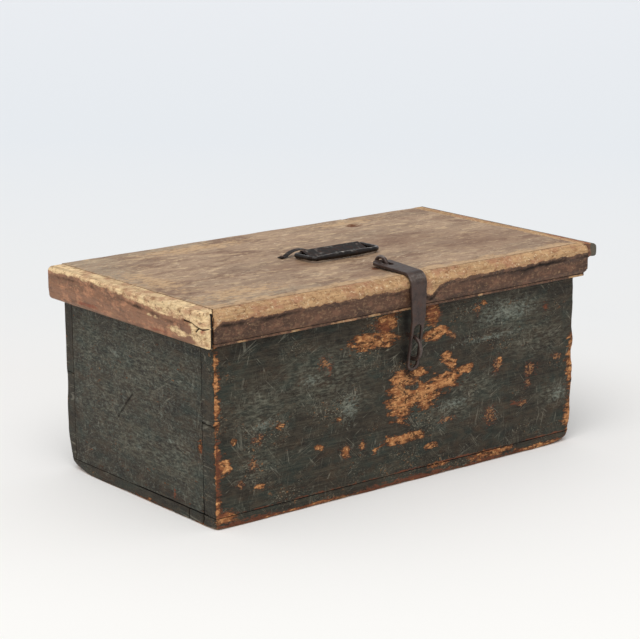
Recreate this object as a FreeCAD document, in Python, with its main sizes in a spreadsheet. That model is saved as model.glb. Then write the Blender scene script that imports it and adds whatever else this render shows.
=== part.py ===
"""A carpenter's tool chest of nailed boards, with a moulded lid, an iron handle and a hasp.

Millimetres. +X runs along the chest, the hasp is on the -Y side, +Z is up, and the origin is
in the middle of the underside. Every size that can be set by itself stands once in DRIVING_SIZES,
and goes to the document's spreadsheet. Everything else is worked out from those cells.
"""
import FreeCAD, Part
import Sketcher
import math
import os
from types import SimpleNamespace

DRIVING_SIZES = (
    # the box
    ("body_length", 500, "box, outside, along X"),
    ("body_depth", 278, "box, outside, along Y"),
    ("wall_top", 210, "top edge of the walls above the underside"),
    ("bottom_thickness", 12.5, "bottom boards"),
    ("bottom_front_width", 48, "the narrow bottom board, along Y"),
    ("front_thickness", 22, "front board"),
    ("back_thickness", 16, "back board"),
    ("end_thickness", 18, "end boards"),
    ("edge_ease", 2, "rounding of the box's outer edges"),
    # the lid board and its mouldings
    ("lid_gap", 0.3, "between the walls and the lid board"),
    ("lid_thickness", 20, "lid board"),
    ("skirt_gap", 1, "between the walls and the mouldings that hang round them"),
    ("moulding_height", 38, "all three mouldings"),
    ("front_moulding_width", 12.5, "front moulding at its worn nosing"),
    ("left_moulding_width", 20, "left moulding"),
    ("right_moulding_width", 20.5, "right moulding at its nosing"),
    ("left_mitre_run", 8.5, "how far along X the left mitre runs"),
    ("right_mitre_run", 12.5, "how far along X the right mitre runs"),
    ("left_mitre_gap", 0.8, "open joint at the left corner"),
    ("right_mitre_gap", 0.3, "joint at the right corner"),
    ("bead_width", 7, "bead at the foot of the profile"),
    ("bead_height", 2.6, "bead at the foot of the profile"),
    ("quirk_width", 5.8, "groove above the bead"),
    ("ovolo_width", 9.3, "top of the rounded part"),
    ("ovolo_height", 11.7, "top of the rounded part above the moulding's foot"),
    ("cove_height", 18, "start of the hollow under the nosing"),
    ("nosing_foot", 22.5, "underside of the nosing above the moulding's foot"),
    ("nosing_foot_width", 11.2, "end of the hollow under the nosing"),
    ("nosing_top_round", 9, "rounding of the front nosing's top edge"),
    ("left_top_round", 4.5, "rounding of the left moulding's top edge"),
    ("left_corner_round", 10.5, "outer corner of the left moulding's front end"),
    ("right_corner_round", 3, "outer corner of the right moulding's front end"),
    # the hasp and its staples
    ("hasp_x", 3, "middle of the hasp and both staples"),
    ("hasp_arm", 60, "face of the front moulding to the bar of the hasp's eye"),
    ("hasp_rise", 2.5, "slope of the arm up to the eye, degrees"),
    ("hasp_thickness", 3.2, "iron strap"),
    ("hasp_eye_width", 25.5, "strap at the eye"),
    ("hasp_bend_width", 22, "strap at the upper bend"),
    ("hasp_width", 16, "strap from the foot of its taper down"),
    ("hasp_bar_radius", 2.6, "bar of the hasp's eye"),
    ("hasp_bar_length", 17, "bar of the hasp's eye"),
    ("hasp_lift", 0.3, "between the strap and the lid, where the arm is lowest"),
    ("hasp_stand_off", 0.6, "between the strap and the front moulding"),
    ("hasp_bend", 9.5, "inner radius of the upper bend"),
    ("hasp_knee_drop", 44.3, "top of the lid to where the strap turns in to the box"),
    ("hasp_knee", 30, "radius of that turn"),
    ("hasp_lean", 10, "slope of the strap below the turn, degrees"),
    ("hasp_taper_drop", 65.3, "top of the lid to the foot of the strap's taper"),
    ("hasp_drop", 104.8, "top of the lid to the foot of the strap"),
    ("eye_slot_width", 7, "slot over the lid staple"),
    ("eye_slot_length", 20, "slot over the lid staple, from the bar"),
    ("hasp_slot_width", 10, "slot over the front staple"),
    ("hasp_slot_length", 48.4, "slot over the front staple"),
    ("hasp_slot_margin", 3.5, "iron below that slot"),
    ("staple_wire", 4.5, "wire of both staples, diameter"),
    ("staple_fit", 0.05, "round each staple leg in its hole"),
    ("lid_staple_span", 18.5, "leg to leg, along Y"),
    ("lid_staple_play", 0.4, "between the eye's bar and the arch over it"),
    ("lid_staple_ahead", 2, "middle of the lid staple in front of the eye's bar"),
    ("front_staple_span", 24, "leg to leg, along Z"),
    ("front_staple_reach", 22, "arch in front of the box"),
    ("front_staple_drop", 79.3, "top of the lid to the middle of the front staple"),
    ("staple_depth", 16, "how deep the legs stand in the wood"),
    # the handle: one forged bail held down by a folded plate
    ("bail_left", -46.2, "outer side of the bail's left arm"),
    ("bail_right", 52, "outer side of the bail's right arm"),
    ("bail_axis_y", -4, "back bar, on which the bail turns"),
    ("bail_reach", 33, "back bar to grip"),
    ("bail_bar", 5.8, "diameter of the back bar and arms"),
    ("grip_swell", 7.4, "diameter in the middle of the grip"),
    ("grip_lift", 0.5, "between the grip and the lid"),
    ("bail_back_corner", 4, "corner radius beside the back bar"),
    ("bail_front_corner", 9, "corner radius beside the grip"),
    ("axis_height", 3.4, "back bar's middle above the lid"),
    ("bail_fit", 0.09, "between the back bar and the plate round it"),
    ("plate_sheet", 1.3, "sheet iron of the plate"),
    ("plate_left", -35, "left end of the fold"),
    ("plate_right", 45, "right end of the fold"),
    ("plate_slope", 18, "sheet in front of the fold, down to the lid, degrees"),
    ("plate_foot", 7, "nailed flat foot of that slope, along Y"),
    ("plate_back_flange", 11, "flange behind the bail, along Y"),
    ("tongue_rise", 7.5, "top of the sprung left tongue above the lid"),
    ("tongue_left_end", -57.5, "left end of the left tongue"),
    ("tongue_left_foot", -50.5, "where the left tongue meets the lid"),
    ("tongue_left_root", -12, "where the left tongue leaves the flange"),
    ("tongue_right_end", 57, "right end of the right tongue"),
    ("tongue_clear", 5.5, "between the back bar's axis and the tongues"),
    # the hinges
    ("hinge_x", 135, "hinges to left and right of the middle"),
    ("hinge_width", 28, "leaf and strap, along X"),
    ("hinge_iron", 2.5, "thickness of leaf and strap"),
    ("knuckle_radius", 4.5, "outside of the knuckles"),
    ("knuckle_clear", 0.3, "between the knuckles and the back"),
    ("knuckle_drop", 1.3, "hinge axis below the lid board"),
    ("middle_knuckle", 9.4, "the strap's knuckle, along X"),
    ("knuckle_gap", 0.3, "between neighbouring knuckles"),
    ("hinge_pin", 5, "diameter"),
    ("pin_fit", 0.05, "round the pin"),
    ("pin_head", 7.5, "diameter of the riveted ends"),
    ("pin_head_height", 1.2, "thickness of the riveted ends"),
    ("leaf_length", 58, "leaf below the hinge axis"),
    ("strap_length", 75, "strap under the lid"),
    ("strap_notch_gap", 0.3, "round the strap in the back board's notch"),
    ("hinge_corner", 6, "rounded corners of leaf and strap"),
    # nails: square, tapered, with a low four-sided head
    ("nail_shank", 3, "square shank under the head"),
    ("nail_head", 6.4, "square head"),
    ("nail_head_height", 1.5, "head above its seat"),
    ("nail_tip", 1, "square tip"),
    ("nail_fit", 0.05, "round each nail in its hole"),
    ("nail_set", 0.4, "nail heads below the wood where they are driven in"),
    ("corner_nail_length", 45, "walls"),
    ("bottom_nail_length", 31, "bottom"),
    ("moulding_nail_length", 38, "mouldings"),
    ("iron_nail_length", 15, "handle plate and hinge straps"),
    ("leaf_nail_length", 12, "hinge leaves"),
    ("nail_margin", 50, "first nail from the end of a row"),
)

doc = FreeCAD.newDocument("tool_chest")
sheet = doc.addObject("Spreadsheet::Sheet", "sizes")
SAME_PLACE = 0.01                # edges nearer to a wanted place than this lie on it
MARGIN = 10                      # how far a cutting outline passes the wood it cuts
SYMMETRIC = "Symmetric"


class Size:
    """A number together with the spreadsheet formula that gives it."""

    def __init__(self, number, formula):
        self.number = float(number)
        self.formula = formula

    def joined(self, other, sign, number):
        return Size(number, f"({self.formula} {sign} {as_size(other).formula})")

    def __add__(self, other):
        return self.joined(other, "+", self.number + as_size(other).number)

    def __sub__(self, other):
        return self.joined(other, "-", self.number - as_size(other).number)

    def __mul__(self, other):
        return self.joined(other, "*", self.number * as_size(other).number)

    def __truediv__(self, other):
        return self.joined(other, "/", self.number / as_size(other).number)

    def __neg__(self):
        return self * -1

    def __radd__(self, other):
        return as_size(other) + self

    def __rsub__(self, other):
        return as_size(other) - self

    def __rmul__(self, other):
        return as_size(other) * self


def as_size(value):
    return value if isinstance(value, Size) else Size(value, repr(value))


def sine(degrees):
    return Size(math.sin(math.radians(degrees.number)), f"sin({degrees.formula})")


def cosine(degrees):
    return Size(math.cos(math.radians(degrees.number)), f"cos({degrees.formula})")


def root(value):
    return Size(math.sqrt(value.number), f"sqrt({value.formula})")


def fill_sheet():
    """Write every driving size into the sheet and return them by name."""
    sizes = SimpleNamespace()
    for row, (alias, number, words) in enumerate(DRIVING_SIZES, start=1):
        sheet.set(f"A{row}", words)
        sheet.set(f"B{row}", str(number))
        sheet.setAlias(f"B{row}", alias)
        setattr(sizes, alias, Size(number, f"sizes.{alias}"))
    doc.recompute()
    return sizes


def bind(item, name, value):
    """Set a property from a formula of sheet cells."""
    item.setExpression(name, as_size(value).formula)


# ---------------------------------------------------------------- sketches and features

def new_body(label):
    body = doc.addObject("PartDesign::Body", label)
    body.Label = label
    return body


def sketch_on(body, name, plane, offset=0):
    """A sketch on one of the body's origin planes, moved along the plane's normal.

    The normals are +Z for XY_Plane, -Y for XZ_Plane and +X for YZ_Plane.
    """
    sketch = body.newObject("Sketcher::SketchObject", name)
    support = [part for part in body.Origin.OriginFeatures if part.Role == plane][0]
    sketch.AttachmentSupport = [(support, "")]
    sketch.MapMode = "FlatFace"
    bind(sketch, "AttachmentOffset.Base.z", offset)
    return sketch


def fix(sketch, kind, geometry, place, value):
    """Hold one coordinate of a point, or one radius, at a formula of sheet cells."""
    value = as_size(value)
    if kind == "Radius":
        index = sketch.addConstraint(Sketcher.Constraint(kind, geometry, value.number))
    else:
        index = sketch.addConstraint(
            Sketcher.Constraint(kind, -1, 1, geometry, place, value.number))
    sketch.setExpression(f"Constraints[{index}]", value.formula)


def arc_between(start, end, radius):
    """An arc of a circle from start to end, turning left for a positive radius."""
    first, last = (start, end) if radius > 0 else (end, start)
    chord = last - first
    lift = math.sqrt(max(radius * radius - chord.Length ** 2 / 4, 0))
    left = FreeCAD.Vector(-chord.y, chord.x, 0).normalize()
    centre = (first + last) / 2 + left * lift
    circle = Part.Circle(centre, FreeCAD.Vector(0, 0, 1), abs(radius))
    angles = [math.atan2(p.y - centre.y, p.x - centre.x) for p in (first, last)]
    if angles[1] < angles[0]:
        angles[1] += 2 * math.pi
    return Part.ArcOfCircle(circle, *angles)


def draw(sketch, points, closed=True):
    """An outline through points, each held by its two coordinates.

    A point is (across, up), or (across, up, bend) where the run to the next point is an arc
    of radius bend, turning left where bend is positive and right where it is negative.
    """
    spots = [FreeCAD.Vector(as_size(p[0]).number, as_size(p[1]).number, 0) for p in points]
    runs = len(points) if closed else len(points) - 1
    ends = []
    for i in range(runs):
        start, end = spots[i], spots[(i + 1) % len(points)]
        bend = as_size(points[i][2]) if len(points[i]) > 2 else None
        if bend is None:
            geometry = sketch.addGeometry(Part.LineSegment(start, end), False)
            ends.append((geometry, 1, 2))
        else:
            geometry = sketch.addGeometry(arc_between(start, end, bend.number), False)
            fix(sketch, "Radius", geometry, None, bend if bend.number > 0 else -bend)
            ends.append((geometry, 1, 2) if bend.number > 0 else (geometry, 2, 1))
    for i, (geometry, first, last) in enumerate(ends):
        fix(sketch, "DistanceX", geometry, first, points[i][0])
        fix(sketch, "DistanceY", geometry, first, points[i][1])
        if closed or i + 1 < runs:
            following = ends[(i + 1) % runs]
            sketch.addConstraint(
                Sketcher.Constraint("Coincident", geometry, last, following[0], following[1]))
    if not closed:
        geometry, _, last = ends[-1]
        fix(sketch, "DistanceX", geometry, last, points[-1][0])
        fix(sketch, "DistanceY", geometry, last, points[-1][1])


def draw_rectangle(sketch, left, foot, right, top):
    draw(sketch, [(left, foot), (right, foot), (right, top), (left, top)])


def draw_circle(sketch, across, up, radius):
    centre = FreeCAD.Vector(as_size(across).number, as_size(up).number, 0)
    circle = Part.Circle(centre, FreeCAD.Vector(0, 0, 1), as_size(radius).number)
    geometry = sketch.addGeometry(circle, False)
    fix(sketch, "DistanceX", geometry, 3, across)
    fix(sketch, "DistanceY", geometry, 3, up)
    fix(sketch, "Radius", geometry, None, radius)


def draw_slot(sketch, left, foot, right, top):
    """An upright slot with round ends."""
    radius = (as_size(right) - left) / 2
    middle = (as_size(right) + left) / 2
    draw(sketch, [(left, foot + radius, radius), (middle, foot, radius),
                  (right, foot + radius), (right, top - radius, radius),
                  (middle, top, radius), (left, top - radius)])


def pad(body, name, sketch, length, side="One side"):
    feature = body.newObject("PartDesign::Pad", name)
    feature.Profile = sketch
    feature.SideType = side
    bind(feature, "Length", length)
    doc.recompute()
    return feature


def pocket(body, name, sketch, depth=None):
    """Cut the sketch's outline against its normal, or right through both ways."""
    before = body.Tip.Shape.Volume
    feature = body.newObject("PartDesign::Pocket", name)
    feature.Profile = sketch
    if depth is None:
        feature.Type = "ThroughAll"
        feature.SideType = SYMMETRIC
    else:
        bind(feature, "Length", depth)
    doc.recompute()
    if not feature.Shape.Volume < before:
        raise RuntimeError(f"{name} cuts nothing")
    return feature


def pipe(body, name, profile, spine):
    feature = body.newObject("PartDesign::AdditivePipe", name)
    feature.Profile = profile
    feature.Spine = spine
    doc.recompute()
    return feature


def revolve(body, name, sketch, axis):
    feature = body.newObject("PartDesign::Revolution", name)
    feature.Profile = sketch
    feature.ReferenceAxis = (sketch, [axis])
    feature.Angle = 360
    doc.recompute()
    return feature


def ease(body, name, radius, chosen):
    """Round the edges of the body whose middle passes the test."""
    base = body.Tip
    names = [f"Edge{i}" for i, edge in enumerate(base.Shape.Edges, start=1)
             if chosen(edge.CenterOfMass)]
    feature = body.newObject("PartDesign::Fillet", name)
    feature.Base = (base, names)
    bind(feature, "Radius", radius)
    doc.recompute()
    return feature


def near(value, wanted):
    return abs(value - as_size(wanted).number) < SAME_PLACE


# ---------------------------------------------------------------- places shared by the pieces

s = fill_sheet()
half_length = s.body_length / 2
half_depth = s.body_depth / 2
front_inside = s.front_thickness - half_depth
back_inside = half_depth - s.back_thickness
bottom_seam = s.bottom_front_width - half_depth
lid_under = s.wall_top + s.lid_gap
lid_top = lid_under + s.lid_thickness
lid_end = half_length + s.skirt_gap
lid_front = -half_depth - s.skirt_gap
lid_back = half_depth
skirt_foot = lid_top - s.moulding_height
skirt_front = lid_front - s.front_moulding_width
hasp_half = s.hasp_thickness / 2
hasp_hang_y = skirt_front - s.hasp_stand_off - hasp_half
hasp_bend_middle = s.hasp_bend + hasp_half
hasp_arm_y = hasp_hang_y + hasp_bend_middle * (1 - sine(s.hasp_rise))
hasp_arm_z = lid_top + s.hasp_lift + hasp_half
hasp_axis_y = skirt_front + s.hasp_arm
hasp_axis_z = hasp_arm_z + (hasp_axis_y - hasp_arm_y) * sine(s.hasp_rise) / cosine(s.hasp_rise)
hasp_bend_z = hasp_arm_z - hasp_bend_middle * cosine(s.hasp_rise)
hasp_knee_z = lid_top - s.hasp_knee_drop
hasp_foot_z = lid_top - s.hasp_drop
hasp_slot_foot_z = hasp_foot_z + s.hasp_slot_margin
hasp_slot_top_z = hasp_slot_foot_z + s.hasp_slot_length
lid_staple_y = hasp_axis_y - s.lid_staple_ahead
front_staple_z = lid_top - s.front_staple_drop
staple_radius = s.staple_wire / 2
staple_hole = staple_radius + s.staple_fit
lid_staple_legs = (lid_staple_y - s.lid_staple_span / 2, lid_staple_y + s.lid_staple_span / 2)
bar_from_arch = s.lid_staple_span / 2 - staple_radius - s.lid_staple_play - s.hasp_bar_radius
lid_staple_bend = hasp_axis_z - root(bar_from_arch * bar_from_arch
                                     - s.lid_staple_ahead * s.lid_staple_ahead)
front_staple_legs = (front_staple_z - s.front_staple_span / 2,
                     front_staple_z + s.front_staple_span / 2)
bail_axis_z = lid_top + s.axis_height
bail_left_axis = s.bail_left + s.bail_bar / 2
bail_right_axis = s.bail_right - s.bail_bar / 2
hinge_axis_y = half_depth + s.knuckle_clear + s.knuckle_radius
hinge_axis_z = lid_under - s.knuckle_drop
strap_foot_z = lid_under - s.hinge_iron
strap_tip_y = half_depth - s.strap_length
leaf_foot_z = hinge_axis_z - s.leaf_length
bail_hole = s.bail_bar / 2 + s.bail_fit
fold_outside = bail_hole + s.plate_sheet
plate_fall = sine(s.plate_slope) / cosine(s.plate_slope)
plate_crease = (s.bail_axis_y - bail_hole * sine(s.plate_slope)
                - (s.axis_height + bail_hole * cosine(s.plate_slope)) / plate_fall)
plate_front = plate_crease - s.plate_foot
tongue_front = s.bail_axis_y + s.tongue_clear
plate_back = s.bail_axis_y + s.bail_bar / 2 + s.plate_back_flange


# ---------------------------------------------------------------- nails and their holes

def spread(first, last, count):
    """Evenly spaced numbers from first to last."""
    first, last = as_size(first).number, as_size(last).number
    return [first + (last - first) * i / (count - 1) for i in range(count)]


def place(x, y, z, direction):
    """A nail's place: where its head meets the surface, and the way it is driven."""
    spot = FreeCAD.Vector(*(as_size(value).number for value in (x, y, z)))
    return spot, FreeCAD.Vector(*direction)


INTO_BACK, INTO_FRONT = (0, 1, 0), (0, -1, 0)
INTO_LEFT, INTO_RIGHT = (-1, 0, 0), (1, 0, 0)
UP, DOWN = (0, 0, 1), (0, 0, -1)


def corner_nail_places():
    """Four nails in each corner, through the front and back boards into the ends."""
    quarter = (s.wall_top - s.bottom_thickness) / 8
    middle = half_length - s.end_thickness / 2
    heights = spread(s.bottom_thickness + quarter, s.wall_top - quarter, 4)
    return ([place(x, -half_depth, z, INTO_BACK) for x in (-middle, middle) for z in heights]
            + [place(x, half_depth, z, INTO_FRONT) for x in (-middle, middle) for z in heights])


def bottom_nail_places():
    """Five nails under each long wall and three under each end."""
    rows = (s.front_thickness / 2 - half_depth, half_depth - s.back_thickness / 2)
    along = spread(s.nail_margin - half_length, half_length - s.nail_margin, 5)
    ends = (s.end_thickness / 2 - half_length, half_length - s.end_thickness / 2)
    front_plank = (front_inside + bottom_seam) / 2
    back_plank = spread(bottom_seam + s.nail_margin, back_inside - s.nail_margin, 2)
    return ([place(x, y, 0, UP) for y in rows for x in along]
            + [place(x, y, 0, UP) for x in ends for y in [front_plank] + back_plank])


def moulding_nail_places():
    """Through each moulding into the lid board's edge."""
    height = lid_under + s.lid_thickness / 2
    along = spread(s.nail_margin / 2 - lid_end, lid_end - s.nail_margin / 2, 5)
    across = spread(lid_front + s.nail_margin, lid_back - s.nail_margin, 3)
    left = -lid_end - s.left_moulding_width
    right = lid_end + s.right_moulding_width
    return ([place(x, skirt_front, height, INTO_BACK) for x in along]
            + [place(left, y, height, INTO_RIGHT) for y in across]
            + [place(right, y, height, INTO_LEFT) for y in across])


def handle_nail_places():
    """Three inside the bail, two behind it and one in each tongue."""
    top = lid_top + s.plate_sheet
    inside = plate_front + s.plate_foot / 2
    behind = (tongue_front + plate_back) / 2
    left = (s.tongue_left_end + s.tongue_left_foot) / 2
    right = s.tongue_right_end - s.nail_head
    margin = s.nail_head * 1.5
    return ([place(x, inside, top, DOWN)
             for x in spread(s.plate_left + margin, s.plate_right - margin, 3)]
            + [place(x, behind, top, DOWN)
               for x in spread(s.tongue_left_root + margin, s.plate_right - margin, 2)]
            + [place(x, behind, top, DOWN) for x in (left, right)])


def leaf_nail_places():
    first = leaf_foot_z + s.hinge_corner * 1.5
    last = hinge_axis_z - s.knuckle_radius - s.nail_head * 1.5
    return [place(side * s.hinge_x, half_depth + s.hinge_iron, z, INTO_FRONT)
            for side in (-1, 1) for z in spread(first, last, 3)]


def strap_nail_places():
    first = strap_tip_y + s.hinge_corner * 1.5
    last = back_inside - s.nail_head * 1.5
    return [place(side * s.hinge_x, y, strap_foot_z, UP)
            for side in (-1, 1) for y in spread(first, last, 3)]


def tapered(half_start, half_end, start, end):
    """A square bar along +Y, wider or narrower at its end."""
    a, b = half_start, half_end
    return Part.makeWedge(-a, start, -a, -b, -b, a, end, a, b, b)


def nail(length, spot, direction, depth):
    """A driven nail, its head's seat at the given depth under the surface."""
    shank = tapered(s.nail_shank.number / 2, s.nail_tip.number / 2, 0, length)
    head = tapered(s.nail_head.number / 4, s.nail_head.number / 2, -s.nail_head_height.number, 0)
    return placed(shank.fuse(head), spot, direction, depth)


def nail_hole(length, spot, direction, depth):
    """The room of a driven nail, up through the surface above its head."""
    fit = s.nail_fit.number
    shank = tapered(s.nail_shank.number / 2 + fit, s.nail_tip.number / 2 + fit, 0, length + fit)
    half = s.nail_head.number / 2 + fit
    mouth = tapered(half, half, -depth - MARGIN, 0)
    return placed(shank.fuse(mouth) if depth else shank, spot, direction, depth)


def placed(shape, spot, direction, depth):
    turn = FreeCAD.Rotation(FreeCAD.Vector(0, 1, 0), direction)
    shape.Placement = FreeCAD.Placement(spot + direction * depth, turn)
    return shape


driven = (s.nail_head_height + s.nail_set).number
NAIL_ROWS = {
    "corner_nails": (corner_nail_places(), s.corner_nail_length, driven),
    "bottom_nails": (bottom_nail_places(), s.bottom_nail_length, driven),
    "hinge_leaf_nails": (leaf_nail_places(), s.leaf_nail_length, 0),
    "moulding_nails": (moulding_nail_places(), s.moulding_nail_length, driven),
    "handle_nails": (handle_nail_places(), s.iron_nail_length, 0),
    "hinge_strap_nails": (strap_nail_places(), s.iron_nail_length, 0),
}


def solids(label, shapes):
    """Like solids that are one node: their sizes are read from the sheet above."""
    group = doc.addObject("Part::Feature", label)
    group.Label = label
    group.Shape = Part.makeCompound(shapes)
    return group


def nail_row(label):
    places, length, depth = NAIL_ROWS[label]
    return solids(label, [nail(length.number, spot, way, depth) for spot, way in places])


def nail_holes(label, rows):
    return solids(label, [nail_hole(length.number, spot, way, depth)
                          for row in rows for places, length, depth in [NAIL_ROWS[row]]
                          for spot, way in places])


carcase_holes = nail_holes("carcase_nail_holes",
                           ("corner_nails", "bottom_nails", "hinge_leaf_nails"))
lid_holes = nail_holes("lid_nail_holes",
                       ("moulding_nails", "handle_nails", "hinge_strap_nails"))


def drilled(label, body, holes):
    """The body with its nail holes, under the sub-part's own name."""
    body.Label = label + "_undrilled"
    piece = doc.addObject("Part::Cut", label + "_drilled")
    piece.Base = body
    piece.Tool = holes
    piece.Label = label
    doc.recompute()
    return piece


# ---------------------------------------------------------------- the box

def front_board():
    """Covers both end boards; carries the staple of the hasp."""
    body = new_body("front_board")
    face = sketch_on(body, "front_board_outline", "XZ_Plane", -front_inside)
    draw_rectangle(face, -half_length, s.bottom_thickness, half_length, s.wall_top)
    pad(body, "front_board_wood", face, s.front_thickness)
    holes = sketch_on(body, "front_staple_holes", "XZ_Plane", half_depth)
    for leg in front_staple_legs:
        draw_circle(holes, s.hasp_x, leg, staple_hole)
    pocket(body, "front_staple_bores", holes, s.staple_depth + s.staple_fit)
    ease(body, "front_board_edges", s.edge_ease,
         lambda m: near(abs(m.x), half_length) and near(m.y, -half_depth))
    return drilled("front_board", body, carcase_holes)


def back_board():
    """Covers both end boards; its top edge is notched for the hinge straps."""
    body = new_body("back_board")
    face = sketch_on(body, "back_board_outline", "XZ_Plane", -half_depth)
    draw_rectangle(face, -half_length, s.bottom_thickness, half_length, s.wall_top)
    pad(body, "back_board_wood", face, s.back_thickness)
    notches = sketch_on(body, "strap_notches", "XZ_Plane")
    half = s.hinge_width / 2 + s.strap_notch_gap
    for side in (-1, 1):
        middle = side * s.hinge_x
        draw_rectangle(notches, middle - half, strap_foot_z - s.strap_notch_gap,
                       middle + half, s.wall_top + MARGIN)
    pocket(body, "strap_notch_cuts", notches)
    ease(body, "back_board_edges", s.edge_ease,
         lambda m: near(abs(m.x), half_length) and near(m.y, half_depth))
    return drilled("back_board", body, carcase_holes)


def end_board(label, outer_left):
    """Stands between the front and back boards; outer_left is its left face."""
    body = new_body(label)
    face = sketch_on(body, label + "_outline", "YZ_Plane", outer_left)
    draw_rectangle(face, front_inside, s.bottom_thickness, back_inside, s.wall_top)
    pad(body, label + "_wood", face, s.end_thickness)
    return drilled(label, body, carcase_holes)


def bottom_board(label, front, back):
    """Lies under the walls, flush with their outer faces."""
    body = new_body(label)
    outline = sketch_on(body, label + "_outline", "XY_Plane")
    draw_rectangle(outline, -half_length, front, half_length, back)
    pad(body, label + "_wood", outline, s.bottom_thickness)
    outer = front if label == "bottom_board_front" else back
    ease(body, label + "_edges", s.edge_ease,
         lambda m: near(m.z, 0) and (near(abs(m.x), half_length) or near(m.y, outer)))
    return drilled(label, body, carcase_holes)


# ---------------------------------------------------------------- the lid

def lid_board():
    """One wide board, with the two holes of the hasp's upper staple."""
    body = new_body("lid_board")
    outline = sketch_on(body, "lid_board_outline", "XY_Plane", lid_under)
    draw_rectangle(outline, -lid_end, lid_front, lid_end, lid_back)
    pad(body, "lid_board_wood", outline, s.lid_thickness)
    holes = sketch_on(body, "lid_staple_holes", "XY_Plane", lid_top)
    for leg in lid_staple_legs:
        draw_circle(holes, s.hasp_x, leg, staple_hole)
    pocket(body, "lid_staple_bores", holes, s.staple_depth + s.staple_fit)
    return drilled("lid_board", body, lid_holes)


def ogee_foot():
    """The lower part of the profile: bead, quirk, ovolo and the hollow under the nosing."""
    quirk_depth = s.bead_width - s.quirk_width
    return [(0, skirt_foot),
            (s.bead_width - s.bead_height / 2, skirt_foot, s.bead_height / 2),
            (s.bead_width, skirt_foot + s.bead_height / 2, s.bead_height / 2),
            (s.bead_width - s.bead_height / 2, skirt_foot + s.bead_height),
            (s.quirk_width, skirt_foot + s.bead_height + quirk_depth / 2,
             s.ovolo_height - s.bead_height),
            (s.ovolo_width, skirt_foot + s.ovolo_height),
            (s.ovolo_width, skirt_foot + s.cove_height, s.bead_height * -2),
            (s.nosing_foot_width, skirt_foot + s.nosing_foot)]


def worn_front_profile():
    """The nosing is rubbed down to one bare rounded edge."""
    nose = s.front_moulding_width
    return ogee_foot() + [
        (nose, lid_top - s.nosing_top_round, s.nosing_top_round),
        (nose - s.nosing_top_round, lid_top),
        (0, lid_top)]


def worn_left_profile():
    """Worn nearly square, and drawn in towards its foot."""
    width, round_top = s.left_moulding_width, s.left_top_round
    return [(0, skirt_foot),
            (width - s.bead_width - s.bead_height, skirt_foot, s.bead_width),
            (width - s.bead_height, skirt_foot + s.bead_width),
            (width, skirt_foot + s.cove_height),
            (width, lid_top - round_top, round_top),
            (width - round_top, lid_top),
            (0, lid_top)]


def whole_right_profile():
    """The nosing still stands out over the hollow, with its full round."""
    width = s.right_moulding_width
    nose = (lid_top - skirt_foot - s.nosing_foot) / 2
    return ogee_foot() + [
        (width - nose / 2, skirt_foot + s.nosing_foot, nose),
        (width, lid_top - nose, nose * 1.2),
        (width - nose, lid_top),
        (0, lid_top)]


def turned_out(profile, base, outward):
    """A profile's widths laid off from base, to the right or to the left of it."""
    return [(base + outward * as_size(point[0]), point[1],
             *(outward * as_size(bend) for bend in point[2:])) for point in profile]


def front_moulding():
    """Runs the length of the lid, mitred at both ends."""
    body = new_body("lid_front_moulding")
    left = -lid_end - s.left_mitre_run
    right = lid_end + s.right_mitre_run
    profile = sketch_on(body, "front_profile", "YZ_Plane", left)
    draw(profile, turned_out(worn_front_profile(), lid_front, -1))
    pad(body, "front_moulding_wood", profile, right - left)
    mitres = sketch_on(body, "front_mitres", "XY_Plane")
    draw(mitres, [(-lid_end, lid_front), (left - MARGIN, lid_front),
                  (left - MARGIN, skirt_front), (left, skirt_front)])
    draw(mitres, [(lid_end, lid_front), (right, skirt_front),
                  (right + MARGIN, skirt_front), (right + MARGIN, lid_front)])
    pocket(body, "front_mitre_cuts", mitres)
    return drilled("lid_front_moulding", body, lid_holes)


def side_moulding(label, profile, side, mitre_run, gap, width, corner):
    """Runs along one end of the lid: mitred in front, cut off square behind.

    Its front end is drawn back from the mitre by gap, and its outer corner is rounded.
    """
    body = new_body(label)
    ends = sketch_on(body, label + "_profile", "XZ_Plane", -lid_back)
    draw(ends, turned_out(profile, side * lid_end, side))
    pad(body, label + "_wood", ends, lid_back - skirt_front)
    front = skirt_front + gap
    plan = sketch_on(body, label + "_plan", "XY_Plane")
    outline = [(lid_end, lid_front + gap), (lid_end + mitre_run, front),
               (lid_end + width - corner, front, corner),
               (lid_end + width, front + corner), (lid_end + width + MARGIN, front + corner),
               (lid_end + width + MARGIN, front - MARGIN), (lid_end - MARGIN, front - MARGIN),
               (lid_end - MARGIN, lid_front + gap)]
    draw(plan, [(side * point[0], point[1], *(side * as_size(bend) for bend in point[2:]))
                for point in outline])
    pocket(body, label + "_front_cut", plan)
    return drilled(label, body, lid_holes)


# ---------------------------------------------------------------- the hasp and its staples

def staple(label, plane, bend_middle, reach, legs, depth_at):
    """A bent wire: two legs driven into the wood, joined by a half circle.

    The wire lies in the plane x = hasp_x. plane is the plane the legs start from, depth_at
    the ends of the legs, and bend_middle where the half circle starts.
    """
    body = new_body(label)
    path = sketch_on(body, label + "_path", "YZ_Plane", s.hasp_x)
    section = sketch_on(body, label + "_section", plane, reach)
    radius = (legs[1] - legs[0]) / 2
    middle = (legs[1] + legs[0]) / 2
    if plane == "XY_Plane":
        draw(path, [(legs[0], depth_at), (legs[0], bend_middle, -radius),
                    (middle, bend_middle + radius, -radius), (legs[1], bend_middle),
                    (legs[1], depth_at)], closed=False)
    else:
        draw(path, [(depth_at, legs[0]), (bend_middle, legs[0], -radius),
                    (bend_middle - radius, middle, -radius), (bend_middle, legs[1]),
                    (depth_at, legs[1])], closed=False)
    draw_circle(section, s.hasp_x, legs[0], staple_radius)
    pipe(body, label + "_wire", section, path)
    return body


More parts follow.
